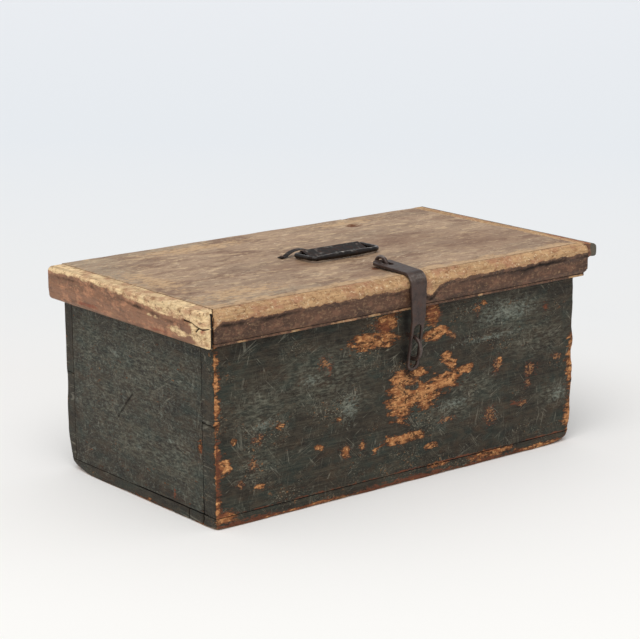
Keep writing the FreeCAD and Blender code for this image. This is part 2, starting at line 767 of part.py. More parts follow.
def lid_staple():
    """Stands in the lid and holds the bar of the hasp's eye."""
    foot = lid_top - s.staple_depth
    return staple("hasp_lid_staple", "XY_Plane", lid_staple_bend, foot, lid_staple_legs, foot)


def front_staple():
    """Stands in the front board and passes through the hasp's slot."""
    bend = s.front_staple_span / 2 + staple_radius - s.front_staple_reach - half_depth
    foot = s.staple_depth - half_depth
    return staple("hasp_front_staple", "XZ_Plane", bend, -foot, front_staple_legs, foot)


def hasp_strap():
    """One iron strap: eye, arm over the lid, bend, and the slotted part that hangs."""
    body = new_body("hasp_strap")
    lean = sine(s.hasp_lean) / cosine(s.hasp_lean)
    knee_turn = s.hasp_knee * (1 - cosine(s.hasp_lean))
    knee_drop = s.hasp_knee * sine(s.hasp_lean)
    below = hasp_knee_z - knee_drop - hasp_foot_z
    path = sketch_on(body, "hasp_path", "YZ_Plane", s.hasp_x)
    draw(path, [(hasp_axis_y, hasp_axis_z), (hasp_arm_y, hasp_arm_z, hasp_bend_middle),
                (hasp_hang_y, hasp_bend_z), (hasp_hang_y, hasp_knee_z, s.hasp_knee),
                (hasp_hang_y + knee_turn, hasp_knee_z - knee_drop),
                (hasp_hang_y + knee_turn + below * lean, hasp_foot_z)], closed=False)
    section = sketch_on(body, "hasp_section", "XZ_Plane", -hasp_axis_y)
    draw_rectangle(section, s.hasp_x - s.hasp_eye_width / 2, hasp_axis_z - hasp_half,
                   s.hasp_x + s.hasp_eye_width / 2, hasp_axis_z + hasp_half)
    pipe(body, "hasp_iron", section, path)

    plan = sketch_on(body, "hasp_plan", "XY_Plane")
    shoulder = (s.hasp_eye_width - s.hasp_bar_length) / 2
    for side in (-1, 1):
        corner = s.hasp_x + side * s.hasp_bar_length / 2
        edge = s.hasp_x + side * s.hasp_eye_width / 2
        hang = s.hasp_x + side * s.hasp_bend_width / 2
        beyond = edge + side * MARGIN
        draw(plan, [(corner, hasp_axis_y + MARGIN / 2),
                    (corner, hasp_axis_y, -side * shoulder),
                    (edge, hasp_axis_y - shoulder), (hang, hasp_hang_y + s.hasp_bend),
                    (hang, hasp_hang_y - MARGIN), (beyond, hasp_hang_y - MARGIN),
                    (beyond, hasp_axis_y + MARGIN / 2)])
    half_slot = s.eye_slot_width / 2
    slot_front = hasp_axis_y - s.eye_slot_length
    draw(plan, [(s.hasp_x - half_slot, hasp_axis_y + MARGIN),
                (s.hasp_x - half_slot, slot_front + half_slot, half_slot),
                (s.hasp_x, slot_front, half_slot),
                (s.hasp_x + half_slot, slot_front + half_slot),
                (s.hasp_x + half_slot, hasp_axis_y + MARGIN)])
    pocket(body, "hasp_plan_cut", plan)

    bar = sketch_on(body, "hasp_bar_section", "YZ_Plane", s.hasp_x - s.hasp_bar_length / 2)
    draw_circle(bar, hasp_axis_y, hasp_axis_z, s.hasp_bar_radius)
    pad(body, "hasp_bar", bar, s.hasp_bar_length)

    face = sketch_on(body, "hasp_face", "XZ_Plane")
    half_width, half_bend = s.hasp_width / 2, s.hasp_bend_width / 2
    left, right = s.hasp_x - half_width, s.hasp_x + half_width
    wide_left, wide_right = s.hasp_x - half_bend, s.hasp_x + half_bend
    spring, taper_foot = hasp_foot_z + half_width, lid_top - s.hasp_taper_drop
    draw(face, [(wide_left, hasp_bend_z), (left, taper_foot), (left, spring, half_width),
                (s.hasp_x, hasp_foot_z, half_width), (right, spring), (right, taper_foot),
                (wide_right, hasp_bend_z), (wide_right + MARGIN, hasp_bend_z),
                (wide_right + MARGIN, hasp_foot_z - MARGIN),
                (wide_left - MARGIN, hasp_foot_z - MARGIN), (wide_left - MARGIN, hasp_bend_z)])
    draw_slot(face, s.hasp_x - s.hasp_slot_width / 2, hasp_slot_foot_z,
              s.hasp_x + s.hasp_slot_width / 2, hasp_slot_top_z)
    pocket(body, "hasp_face_cut", face)
    return body


# ---------------------------------------------------------------- the handle

def handle_bail():
    """A forged ring lying forward on the lid: a round bar with a swelling grip."""
    body = new_body("handle_bail")
    grip_rise = s.grip_swell / 2 + s.grip_lift - s.axis_height
    grip_corner, bar_corner = s.bail_front_corner, s.bail_back_corner
    path = sketch_on(body, "bail_path", "XY_Plane")
    left, right, reach = bail_left_axis, bail_right_axis, -s.bail_reach
    draw(path, [(left + grip_corner, reach, -grip_corner), (left, reach + grip_corner),
                (left, -bar_corner, -bar_corner), (left + bar_corner, 0),
                (right - bar_corner, 0, -bar_corner), (right, -bar_corner),
                (right, reach + grip_corner, -grip_corner), (right - grip_corner, reach)],
         closed=False)
    section = sketch_on(body, "bail_section", "YZ_Plane", left + grip_corner)
    draw_circle(section, reach, 0, s.bail_bar / 2)
    pipe(body, "bail_bar", section, path)

    grip = sketch_on(body, "grip_outline", "XY_Plane")
    bind(grip, "AttachmentOffset.Base.y", reach)
    half = s.bail_bar / 2
    swell = s.grip_swell / 2
    middle = (left + right) / 2
    span = (right - left) / 2 - grip_corner
    sagitta = swell - half
    sweep = (span * span + sagitta * sagitta) / (sagitta * 2)
    draw(grip, [(left + grip_corner, 0), (right - grip_corner, 0),
                (right - grip_corner, half, sweep), (middle, swell, sweep),
                (left + grip_corner, half)])
    revolve(body, "grip_swelling", grip, "H_Axis")
    # the ring tips up about the back bar until the thick grip just clears the lid
    tilt = math.degrees(math.asin((grip_rise / s.bail_reach).number))
    body.Placement.Rotation = FreeCAD.Rotation(FreeCAD.Vector(-1, 0, 0), tilt)
    bind(body, "Placement.Base.y", s.bail_axis_y)
    bind(body, "Placement.Base.z", bail_axis_z)
    return body


def handle_plate():
    """Sheet iron folded over the bail's back bar, with a nailed flange each side of it."""
    body = new_body("handle_plate")
    inner, outer, y = bail_hole, fold_outside, s.bail_axis_y
    flange_top = lid_top + s.plate_sheet
    turn, upright = sine(s.plate_slope), cosine(s.plate_slope)
    crease_top = plate_crease - s.plate_sheet * (1 - upright) / turn
    fold = sketch_on(body, "plate_fold", "YZ_Plane", s.plate_left)
    draw(fold, [(plate_front, lid_top), (plate_crease, lid_top),
                (y - inner * turn, bail_axis_z + inner * upright, -inner),
                (y + inner, bail_axis_z), (y + inner, lid_top), (plate_back, lid_top),
                (plate_back, flange_top), (y + outer, flange_top),
                (y + outer, bail_axis_z, outer),
                (y - outer * turn, bail_axis_z + outer * upright),
                (crease_top, flange_top), (plate_front, flange_top)])
    pad(body, "plate_iron", fold, s.plate_right - s.plate_left)

    right_tongue = sketch_on(body, "right_tongue", "XY_Plane", lid_top)
    round_end = (plate_back - tongue_front) / 2
    draw(right_tongue, [(s.plate_right - MARGIN, tongue_front),
                        (s.tongue_right_end - round_end, tongue_front, round_end),
                        (s.tongue_right_end, tongue_front + round_end, round_end),
                        (s.tongue_right_end - round_end, plate_back),
                        (s.plate_right - MARGIN, plate_back)])
    pad(body, "right_tongue_iron", right_tongue, s.plate_sheet)

    left_tongue = sketch_on(body, "left_tongue", "XZ_Plane", -plate_back)
    rise = s.tongue_rise - s.plate_sheet
    half_span = (s.tongue_left_root - s.tongue_left_foot) / 2
    crown = (s.tongue_left_root + s.tongue_left_foot) / 2
    bow = (half_span * half_span + rise * rise) / (rise * 2)
    draw(left_tongue, [(s.tongue_left_end, lid_top), (s.tongue_left_foot, lid_top, -bow),
                       (crown, lid_top + rise, -bow), (s.tongue_left_root, lid_top),
                       (s.tongue_left_root, flange_top, bow), (crown, flange_top + rise, bow),
                       (s.tongue_left_foot, flange_top), (s.tongue_left_end, flange_top)])
    clearing = sketch_on(body, "left_tongue_room", "XZ_Plane", -plate_back)
    draw(clearing, [(s.tongue_left_foot, lid_top - MARGIN), (s.tongue_left_root, lid_top - MARGIN),
                    (s.tongue_left_root, flange_top + s.tongue_rise),
                    (s.tongue_left_foot, flange_top + s.tongue_rise)])
    room = body.newObject("PartDesign::Pocket", "left_tongue_cut")
    room.Profile = clearing
    room.Reversed = True
    bind(room, "Length", plate_back - tongue_front)
    doc.recompute()
    pad(body, "left_tongue_iron", left_tongue, plate_back - tongue_front)
    return drilled("handle_plate", body, lid_holes)


# ---------------------------------------------------------------- the hinges

def hinge_leaf(label, middle):
    """Nailed to the back: a flat leaf with two knuckles."""
    body = new_body(label)
    half = s.hinge_width / 2
    leaf = sketch_on(body, label + "_outline", "XZ_Plane", -half_depth)
    corner = s.hinge_corner
    draw(leaf, [(middle - half, leaf_foot_z + corner, corner),
                (middle - half + corner, leaf_foot_z), (middle + half - corner, leaf_foot_z, corner),
                (middle + half, leaf_foot_z + corner), (middle + half, hinge_axis_z),
                (middle - half, hinge_axis_z)])
    plate = pad(body, label + "_iron", leaf, s.hinge_iron)
    plate.Reversed = True
    doc.recompute()
    barrel = sketch_on(body, label + "_barrel_section", "YZ_Plane", middle - half)
    draw_circle(barrel, hinge_axis_y, hinge_axis_z, s.knuckle_radius)
    pad(body, label + "_barrel", barrel, s.hinge_width)
    bore = sketch_on(body, label + "_bore_section", "YZ_Plane")
    draw_circle(bore, hinge_axis_y, hinge_axis_z, s.hinge_pin / 2 + s.pin_fit)
    pocket(body, label + "_bore", bore)
    gap = sketch_on(body, label + "_gap_outline", "XZ_Plane")
    room = s.middle_knuckle / 2 + s.knuckle_gap
    draw_rectangle(gap, middle - room, hinge_axis_z - s.knuckle_radius - s.knuckle_gap,
                   middle + room, hinge_axis_z + s.knuckle_radius + MARGIN)
    pocket(body, label + "_gap", gap)
    return drilled(label, body, carcase_holes)


def hinge_strap(label, middle):
    """Nailed under the lid: a flat strap that ends in the middle knuckle."""
    body = new_body(label)
    half = s.hinge_width / 2
    neck = s.middle_knuckle / 2
    shoulder_y = half_depth - s.knuckle_clear
    corner = s.hinge_corner
    outline = sketch_on(body, label + "_outline", "XY_Plane", strap_foot_z)
    draw(outline, [(middle - half, strap_tip_y + corner, corner),
                   (middle - half + corner, strap_tip_y),
                   (middle + half - corner, strap_tip_y, corner),
                   (middle + half, strap_tip_y + corner), (middle + half, shoulder_y),
                   (middle + neck, shoulder_y), (middle + neck, hinge_axis_y),
                   (middle - neck, hinge_axis_y), (middle - neck, shoulder_y),
                   (middle - half, shoulder_y)])
    pad(body, label + "_iron", outline, s.hinge_iron)
    barrel = sketch_on(body, label + "_barrel_section", "YZ_Plane", middle - neck)
    draw_circle(barrel, hinge_axis_y, hinge_axis_z, s.knuckle_radius)
    pad(body, label + "_barrel", barrel, s.middle_knuckle)
    bore = sketch_on(body, label + "_bore_section", "YZ_Plane")
    draw_circle(bore, hinge_axis_y, hinge_axis_z, s.hinge_pin / 2 + s.pin_fit)
    pocket(body, label + "_bore", bore)
    return drilled(label, body, lid_holes)


def hinge_pin(label, middle):
    """A pin riveted over at both ends, just clear of the outer knuckles."""
    body = new_body(label)
    inner = s.hinge_width / 2 + s.pin_fit
    end = inner + s.pin_head_height
    outline = sketch_on(body, label + "_outline", "XY_Plane")
    draw(outline, [(-end, 0), (end, 0), (end, s.pin_head / 4), (inner, s.pin_head / 2),
                   (inner, s.hinge_pin / 2), (-inner, s.hinge_pin / 2),
                   (-inner, s.pin_head / 2), (-end, s.pin_head / 4)])
    revolve(body, label + "_iron", outline, "H_Axis")
    bind(body, "Placement.Base.x", middle)
    bind(body, "Placement.Base.y", hinge_axis_y)
    bind(body, "Placement.Base.z", hinge_axis_z)
    return body


# ---------------------------------------------------------------- build, check and write

PARTS = {
    "front_board": front_board(),
    "back_board": back_board(),
    "left_end_board": end_board("left_end_board", -half_length),
    "right_end_board": end_board("right_end_board", half_length - s.end_thickness),
    "bottom_board_front": bottom_board("bottom_board_front", -half_depth, bottom_seam),
    "bottom_board_back": bottom_board("bottom_board_back", bottom_seam, half_depth),
    "lid_board": lid_board(),
    "lid_front_moulding": front_moulding(),
    "lid_left_moulding": side_moulding(
        "lid_left_moulding", worn_left_profile(), -1, s.left_mitre_run, s.left_mitre_gap,
        s.left_moulding_width, s.left_corner_round),
    "lid_right_moulding": side_moulding(
        "lid_right_moulding", whole_right_profile(), 1, s.right_mitre_run, s.right_mitre_gap,
        s.right_moulding_width, s.right_corner_round),
    "hasp_lid_staple": lid_staple(),
    "hasp_front_staple": front_staple(),
    "hasp_strap": hasp_strap(),
    "handle_bail": handle_bail(),
    "handle_plate": handle_plate(),
}
for side_name, side_sign in (("left", -1), ("right", 1)):
    hinge_middle = side_sign * s.hinge_x
    PARTS[f"hinge_leaf_{side_name}"] = hinge_leaf(f"hinge_leaf_{side_name}", hinge_middle)
    PARTS[f"hinge_strap_{side_name}"] = hinge_strap(f"hinge_strap_{side_name}", hinge_middle)
    PARTS[f"hinge_pin_{side_name}"] = hinge_pin(f"hinge_pin_{side_name}", hinge_middle)
for row_name in NAIL_ROWS:
    PARTS[row_name] = nail_row(row_name)

doc.recompute()
for item in doc.Objects:
    if {"Invalid", "Error"} & set(item.State):
        raise RuntimeError(f"{item.Label} failed: {item.State}")
os.makedirs("parts", exist_ok=True)
for node, piece in PARTS.items():
    if piece.Label != node:
        raise RuntimeError(f"{node} is labelled {piece.Label}")
    if piece.Shape.isNull() or not piece.Shape.isValid() or piece.Shape.Volume <= 0:
        raise RuntimeError(f"{node} has no valid solid")
for node, piece in PARTS.items():
    piece.Shape.exportStep(f"parts/{node}.step")
    box = piece.Shape.BoundBox
    print(f"{node:20s} {len(piece.Shape.Solids):3d} solids {piece.Shape.Volume:12.1f} mm3 "
          f"x {box.XMin:7.1f} {box.XMax:7.1f} y {box.YMin:7.1f} {box.YMax:7.1f} "
          f"z {box.ZMin:6.1f} {box.ZMax:6.1f}")
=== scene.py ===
"""An old pine tool chest with a moulded lid, an iron handle and a hasp, dressed round its frame."""
import math

import bmesh
import bpy
import numpy as np
from mathutils import Matrix, Quaternion, Vector
from bpy.props import FloatProperty, FloatVectorProperty, IntProperty, PointerProperty


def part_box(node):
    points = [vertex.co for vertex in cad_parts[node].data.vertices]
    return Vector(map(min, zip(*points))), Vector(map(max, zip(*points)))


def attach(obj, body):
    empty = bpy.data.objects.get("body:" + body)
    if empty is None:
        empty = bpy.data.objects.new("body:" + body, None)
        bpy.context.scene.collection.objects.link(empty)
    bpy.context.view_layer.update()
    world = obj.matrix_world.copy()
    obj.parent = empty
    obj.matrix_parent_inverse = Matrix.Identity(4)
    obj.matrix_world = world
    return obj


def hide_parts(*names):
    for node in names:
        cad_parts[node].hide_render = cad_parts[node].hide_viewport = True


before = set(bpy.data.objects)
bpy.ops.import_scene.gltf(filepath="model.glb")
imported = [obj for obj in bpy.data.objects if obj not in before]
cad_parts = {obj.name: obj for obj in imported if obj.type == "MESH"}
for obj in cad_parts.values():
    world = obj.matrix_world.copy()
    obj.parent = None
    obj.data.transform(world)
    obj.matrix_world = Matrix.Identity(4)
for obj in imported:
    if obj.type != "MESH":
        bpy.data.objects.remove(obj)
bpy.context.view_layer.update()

bl_info = {
    "name": "Old Tool Chest",
    "version": (1, 0, 0),
    "blender": (4, 5, 0),
    "location": "3D View > Sidebar > Tool Chest",
    "description": "Builds the boards, mouldings and forged iron of an old tool chest",
    "category": "Object",
}

MM = 0.001
X, Y, Z = 0, 1, 2
ON_FACE = 0.01           # a point this near to a face, in millimetres, lies on it
PAST = 60.0              # millimetres past a piece's side, where rounding leaves that side alone


def box_mm(node):
    """Lowest and highest corner of a CAD node at rest, in millimetres."""
    return [np.array(corner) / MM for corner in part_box(node)]


def linear(code):
    """A linear colour with alpha from an sRGB hex code."""
    parts = [int(code[i:i + 2], 16) / 255 for i in (1, 3, 5)]
    return (*(p / 12.92 if p <= 0.04045 else ((p + 0.055) / 1.055) ** 2.4 for p in parts), 1.0)


# The box's outer corners, the top of the lid and the foot of its front moulding.
FRONT_LOW, FRONT_HIGH = box_mm("front_board")
BOX_LOW = FRONT_LOW * (1, 1, 0)
BOX_HIGH = np.array([FRONT_HIGH[0], box_mm("back_board")[1][1], FRONT_HIGH[2]])
LID_TOP = box_mm("lid_board")[1][2]
SKIRT_FOOT = box_mm("lid_front_moulding")[0][2]


# ---------------- settings a user would change

class ChestWoodSettings(bpy.types.PropertyGroup):
    """Wear and colours of the boards and mouldings."""
    seam_round: FloatProperty(
        name="Seam Rounding", description="Rounding of the boards where they meet",
        default=0.0006, min=0.0001, max=0.003, unit="LENGTH")
    corner_round: FloatProperty(
        name="Corner Rounding", description="Rounding of the chest's outer edges",
        default=0.0019, min=0.0002, max=0.01, unit="LENGTH")
    dent_depth: FloatProperty(
        name="Dent Depth", description="How far the wood is dented between rises",
        default=0.0005, min=0.0, max=0.003, unit="LENGTH")
    paint: FloatVectorProperty(
        name="Paint", description="Old dark paint on the box", subtype="COLOR", size=3,
        default=linear("#332d24")[:3], min=0.0, max=1.0)
    bare_pine: FloatVectorProperty(
        name="Bare Pine", description="Wood where the paint is rubbed away", subtype="COLOR",
        size=3, default=linear("#c28857")[:3], min=0.0, max=1.0)
    lid_pine: FloatVectorProperty(
        name="Lid Pine", description="Weathered wood of the lid", subtype="COLOR", size=3,
        default=linear("#ab8e73")[:3], min=0.0, max=1.0)
    moulding_stain: FloatVectorProperty(
        name="Moulding Stain", description="Red-brown finish of the mouldings",
        subtype="COLOR", size=3, default=linear("#5c4030")[:3], min=0.0, max=1.0)


class ChestIronSettings(bpy.types.PropertyGroup):
    """Hammer marks and colours of the iron."""
    hammer_depth: FloatProperty(
        name="Hammer Depth", description="Depth of the hammer marks in forged iron",
        default=0.00035, min=0.0, max=0.002, unit="LENGTH")
    nail_head: FloatProperty(
        name="Nail Head", description="Width of a nail's square head",
        default=0.0062, min=0.002, max=0.015, unit="LENGTH")
    iron: FloatVectorProperty(
        name="Brown Iron", description="Hasp, staples and hinges", subtype="COLOR", size=3,
        default=linear("#483a35")[:3], min=0.0, max=1.0)
    black_iron: FloatVectorProperty(
        name="Black Iron", description="Handle and its plate", subtype="COLOR", size=3,
        default=linear("#1f1815")[:3], min=0.0, max=1.0)


class ChestStageSettings(bpy.types.PropertyGroup):
    """Camera, lamp, sky and floor."""
    lens: FloatProperty(
        name="Lens", description="Focal length of the camera in millimetres",
        default=119.8, min=20.0, max=400.0)
    floor: FloatVectorProperty(
        name="Floor", description="Pale studio floor", subtype="COLOR", size=3,
        default=linear("#f7f6f3")[:3], min=0.0, max=1.0)
    key_power: FloatProperty(
        name="Key Lamp", description="Strength of the wide soft lamp overhead", default=1.75,
        min=0.0, max=20.0)
    fill_light: FloatProperty(
        name="Fill Light", description="Strength of the even light all round", default=0.61,
        min=0.0, max=5.0)
    seed: IntProperty(
        name="Seed", description="Changes every random mark", default=7, min=0, max=1000)


GROUPS = {"wood": ChestWoodSettings, "iron": ChestIronSettings, "stage": ChestStageSettings}


def setting(group):
    """The scene's wood, iron or stage settings."""
    return getattr(bpy.context.scene, "chest_" + group)


def opaque(colour):
    """A colour setting with alpha."""
    return (*colour, 1.0)


# ---------------- numbers that wander

def hashed(cell, seed):
    """A repeatable number from 0 to 1 for each whole-numbered cell: odd factors mix its bits."""
    mixed = (cell[:, 0] * 73856093) ^ (cell[:, 1] * 19349663) ^ (cell[:, 2] * 83492791)
    mixed = (mixed + seed * 2654435761) & 0xFFFFFFFF
    mixed = ((mixed ^ (mixed >> 15)) * 2246822519) & 0xFFFFFFFF
    mixed = ((mixed ^ (mixed >> 13)) * 3266489917) & 0xFFFFFFFF
    return ((mixed ^ (mixed >> 16)) & 0xFFFFFF) / float(0xFFFFFF)


def ripple(points, size, seed):
    """Smooth numbers from -1 to 1 that change over about size millimetres."""
    scaled = np.asarray(points, float) / np.asarray(size, float)
    cell = np.floor(scaled).astype(np.int64)
    part = scaled - cell
    part = part * part * (3 - 2 * part)
    total = np.zeros(len(scaled))
    for corner in np.ndindex(2, 2, 2):
        weight = np.prod(np.where(np.array(corner) == 1, part, 1 - part), axis=1)
        total += weight * hashed(cell + corner, seed)
    return total * 2 - 1


def ripple_along(points, axis, size, seed):
    """A ripple that changes along one axis, and hardly at all along the others."""
    sizes = [400, 400, 400]
    sizes[axis] = size
    return ripple(points, sizes, seed)


def fade(value, start, end):
    """0 up to start, 1 from end on, and an even curve between."""
    t = np.clip((np.asarray(value, float) - start) / (end - start), 0, 1)
    return t * t * (3 - 2 * t)


# ---------------- meshes

FILLING_WIDTH = 7.0      # putty over a sunk nail head, in millimetres
FILLING_DEPTH = 4.5
FILLING_RISE = 0.35      # above the crown of the head
FILLING_NEAR = 0.002     # in metres, how far outside its node's box a nail head may stand


def lines(low, high, step, extra=(), crowd=(0.5, 1.1, 1.9, 3.0, 4.6)):
    """Grid lines from low to high, crowded at both ends and round the extra places."""
    crowd = [c for c in crowd if c < (high - low) / 2 - 0.3]
    reach = crowd[-1] if crowd else 0
    count = max(1, int(round((high - low - 2 * reach) / step)))
    inner = np.linspace(low + reach, high - reach, count + 1)
    at = [low, high, *(low + c for c in crowd), *(high - c for c in crowd), *inner]
    for place in extra:
        at = [a for a in at if abs(a - place) > 1.3 or a in (low, high)]
        at += [place + d for d in (-1.2, -0.6, -0.2, 0.2, 0.6, 1.2) if low < place + d < high]
    at = np.unique(np.round(at, 4))
    keep = [at[0]]
    for value in at[1:]:
        if value - keep[-1] > 0.12:
            keep.append(value)
    keep[-1] = high
    return np.array(keep)


def grid_block(xs, ys, zs):
    """Points and quads of a closed block whose six sides carry the given grid lines."""
    axes = (xs, ys, zs)
    counts = [len(a) for a in axes]
    keys, quads = [], []
    for axis in range(3):
        u, v = (axis + 1) % 3, (axis + 2) % 3
        for end in (0, counts[axis] - 1):
            grid = np.zeros((counts[u], counts[v], 3), np.int64)
            grid[..., axis] = end
            grid[..., u] = np.arange(counts[u])[:, None]
            grid[..., v] = np.arange(counts[v])[None, :]
            key = (grid[..., 0] * counts[1] + grid[..., 1]) * counts[2] + grid[..., 2]
            square = np.stack([key[:-1, :-1], key[1:, :-1], key[1:, 1:], key[:-1, 1:]], -1)
            square = square.reshape(-1, 4)
            quads.append(square if end else square[:, ::-1])
            keys.append(key.ravel())
    used, index = np.unique(np.concatenate([q.ravel() for q in quads]), return_inverse=True)
    z = used % counts[2]
    y = used // counts[2] % counts[1]
    x = used // (counts[2] * counts[1])
    points = np.stack([xs[x], ys[y], zs[z]], 1)
    return points, index.reshape(-1, 4).tolist()


def round_off(points, low, high, radius):
    """Draws points that stick out of a rounded box back on to it."""
    radius = np.broadcast_to(np.asarray(radius, float), len(points))[:, None]
    core = np.clip(points, np.asarray(low) + radius, np.asarray(high) - radius)
    out = points - core
    length = np.linalg.norm(out, axis=1, keepdims=True)
    return np.where(length > radius, core + out * radius / np.maximum(length, 1e-9), points)


def placed(name, data):
    """An object that holds this data, linked to the scene."""
    holder = bpy.data.objects.new(name, data)
    bpy.context.scene.collection.objects.link(holder)
    return holder


def applied(holder):
    """The mesh that an object's modifiers make of it."""
    graph = bpy.context.evaluated_depsgraph_get()
    return bpy.data.meshes.new_from_object(holder.evaluated_get(graph))


def fill_nail_holes(mesh, node, row):
    """Adds a block of putty over the head of each of the row's nails that stands in the node."""
    solid = bmesh.new()
    solid.from_mesh(mesh)
    low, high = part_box(node)
    for at, drive, _ in nail_points(row):
        if all(low[i] - FILLING_NEAR < at[i] < high[i] + FILLING_NEAR for i in range(3)):
            size = Vector(np.where(np.abs(drive) > 0.5, FILLING_DEPTH, FILLING_WIDTH) * MM)
            middle = Vector(at + drive * (FILLING_DEPTH / 2 - FILLING_RISE) * MM)
            bmesh.ops.create_cube(solid, size=1.0, matrix=Matrix.LocRotScale(middle, None, size))
    solid.to_mesh(mesh)
    solid.free()


def recut(node, cell, filled_row=None):
    """Points and faces of a CAD node's copy, cut again into even cells of this many millimetres.

    The mouths of the nail holes of a filled row are closed over its heads.
    """
    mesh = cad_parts[node].data.copy()
    if filled_row:
        fill_nail_holes(mesh, node, filled_row)
    copy = placed("recut", mesh)
    weld = copy.modifiers.new("weld", "WELD")
    weld.merge_threshold = 0.00001
    remesh = copy.modifiers.new("cells", "REMESH")
    remesh.mode = "VOXEL"
    remesh.voxel_size = cell * MM
    done = applied(copy)
    points = np.zeros(len(done.vertices) * 3)
    done.vertices.foreach_get("co", points)
    faces = [tuple(face.vertices) for face in done.polygons]
    bpy.data.objects.remove(copy)
    bpy.data.meshes.remove(mesh)
    bpy.data.meshes.remove(done)
    return points.reshape(-1, 3) / MM, faces


def make_object(name, points, faces, marks=None):
    """A mesh object from millimetre points, with one number per point for each mark."""
    mesh = bpy.data.meshes.new(name)
    mesh.from_pydata((points * MM).tolist(), [], faces)
    for mark_name, values in (marks or {}).items():
        layer = mesh.attributes.new(mark_name, "FLOAT", "POINT")
        layer.data.foreach_set("value", np.asarray(values, np.float32))
    mesh.polygons.foreach_set("use_smooth", [True] * len(mesh.polygons))
    mesh.update()
    return placed(name, mesh)


def finished(made, tree, values, material, body, nodes):
    """Keeps what a geometry tree makes of an object as its mesh, and joins it to the frame."""
    modifier = made.modifiers.new(tree.name, "NODES")
    modifier.node_group = tree
    sockets = {item.name: item.identifier for item in tree.interface.items_tree
               if item.item_type == "SOCKET" and item.in_out == "INPUT"}
    for name, value in {**values, "Material": material}.items():
        modifier[sockets[name]] = value
    bpy.context.view_layer.update()
    mesh = applied(made)
    made.modifiers.remove(modifier)
    old, made.data = made.data, mesh
    mesh.name = made.name
    bpy.data.meshes.remove(old)
    if not mesh.materials:
        mesh.materials.append(material)
    if not len(mesh.polygons):
        raise RuntimeError(made.name + " came out empty")
    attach(made, body)
    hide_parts(*nodes)


def shared(maker, name, *given):
    """A material or geometry tree by name, made the first time it is asked for."""
    found = bpy.data.materials.get(name) or bpy.data.node_groups.get(name)
    return found or maker(name, *given)


def dress(prefix, node, cut, marks, dents, material, body):
    """Dents a new skin for a CAD node, and gives it the node's place.

    Dents are a size in millimetres and a depth in metres, both again for the fine ones, with a
    depth in millimetres, and a number that sets them apart from another piece's.
    """
    size, depth, fine_size, fine_depth, apart = dents
    values = {"Dent Size": size * MM, "Dent Depth": depth, "Fine Size": fine_size * MM,
              "Fine Depth": fine_depth * MM, "Seed": float(setting("stage").seed + apart)}
    finished(make_object(prefix + node, *cut, marks), shared(dented_surface_tree, "dented_surface"),
             values, material, body, [node])


# ---------------- nodes

def add(tree, kind, inputs=None, **choices):
    """Adds a node with its choices, and fills inputs with values or with other nodes' outputs."""
    node = tree.nodes.new(kind)
    for name, value in choices.items():
        setattr(node, name, value)
    for key, value in (inputs or {}).items():
        socket = node.inputs[key] if isinstance(key, int) else next(
            i for i in node.inputs if i.name == key and i.enabled)
        if isinstance(value, bpy.types.Node):
            value = next(o for o in value.outputs if o.enabled)
        if isinstance(value, bpy.types.NodeSocket):
            tree.links.new(value, socket)
        else:
            socket.default_value = value
    return node


def shade(colour, factor):
    """A lighter or darker neighbour of a linear colour."""
    return (*(min(1.0, part * factor) for part in colour[:3]), 1.0)


def noise_at(tree, place, size, detail=3.0, turn=(0.0, 0.0, 0.0), seed=0.0, rough=0.6):
    """Noise with features of size millimetres along X, Y and Z."""
    turned = add(tree, "ShaderNodeMapping", {
        "Vector": place, "Location": (seed, seed * 1.7, seed * 0.6), "Rotation": turn})
    scaled = add(tree, "ShaderNodeVectorMath", {
        0: turned, 1: tuple(1 / MM / s for s in size)}, operation="MULTIPLY")
    return add(tree, "ShaderNodeTexNoise", {
        "Vector": scaled, "Scale": 1.0, "Detail": detail, "Roughness": rough})


def mark(tree, name):
    """A number that the mesh carries point by point."""
    return add(tree, "ShaderNodeAttribute", attribute_name=name).outputs["Fac"]


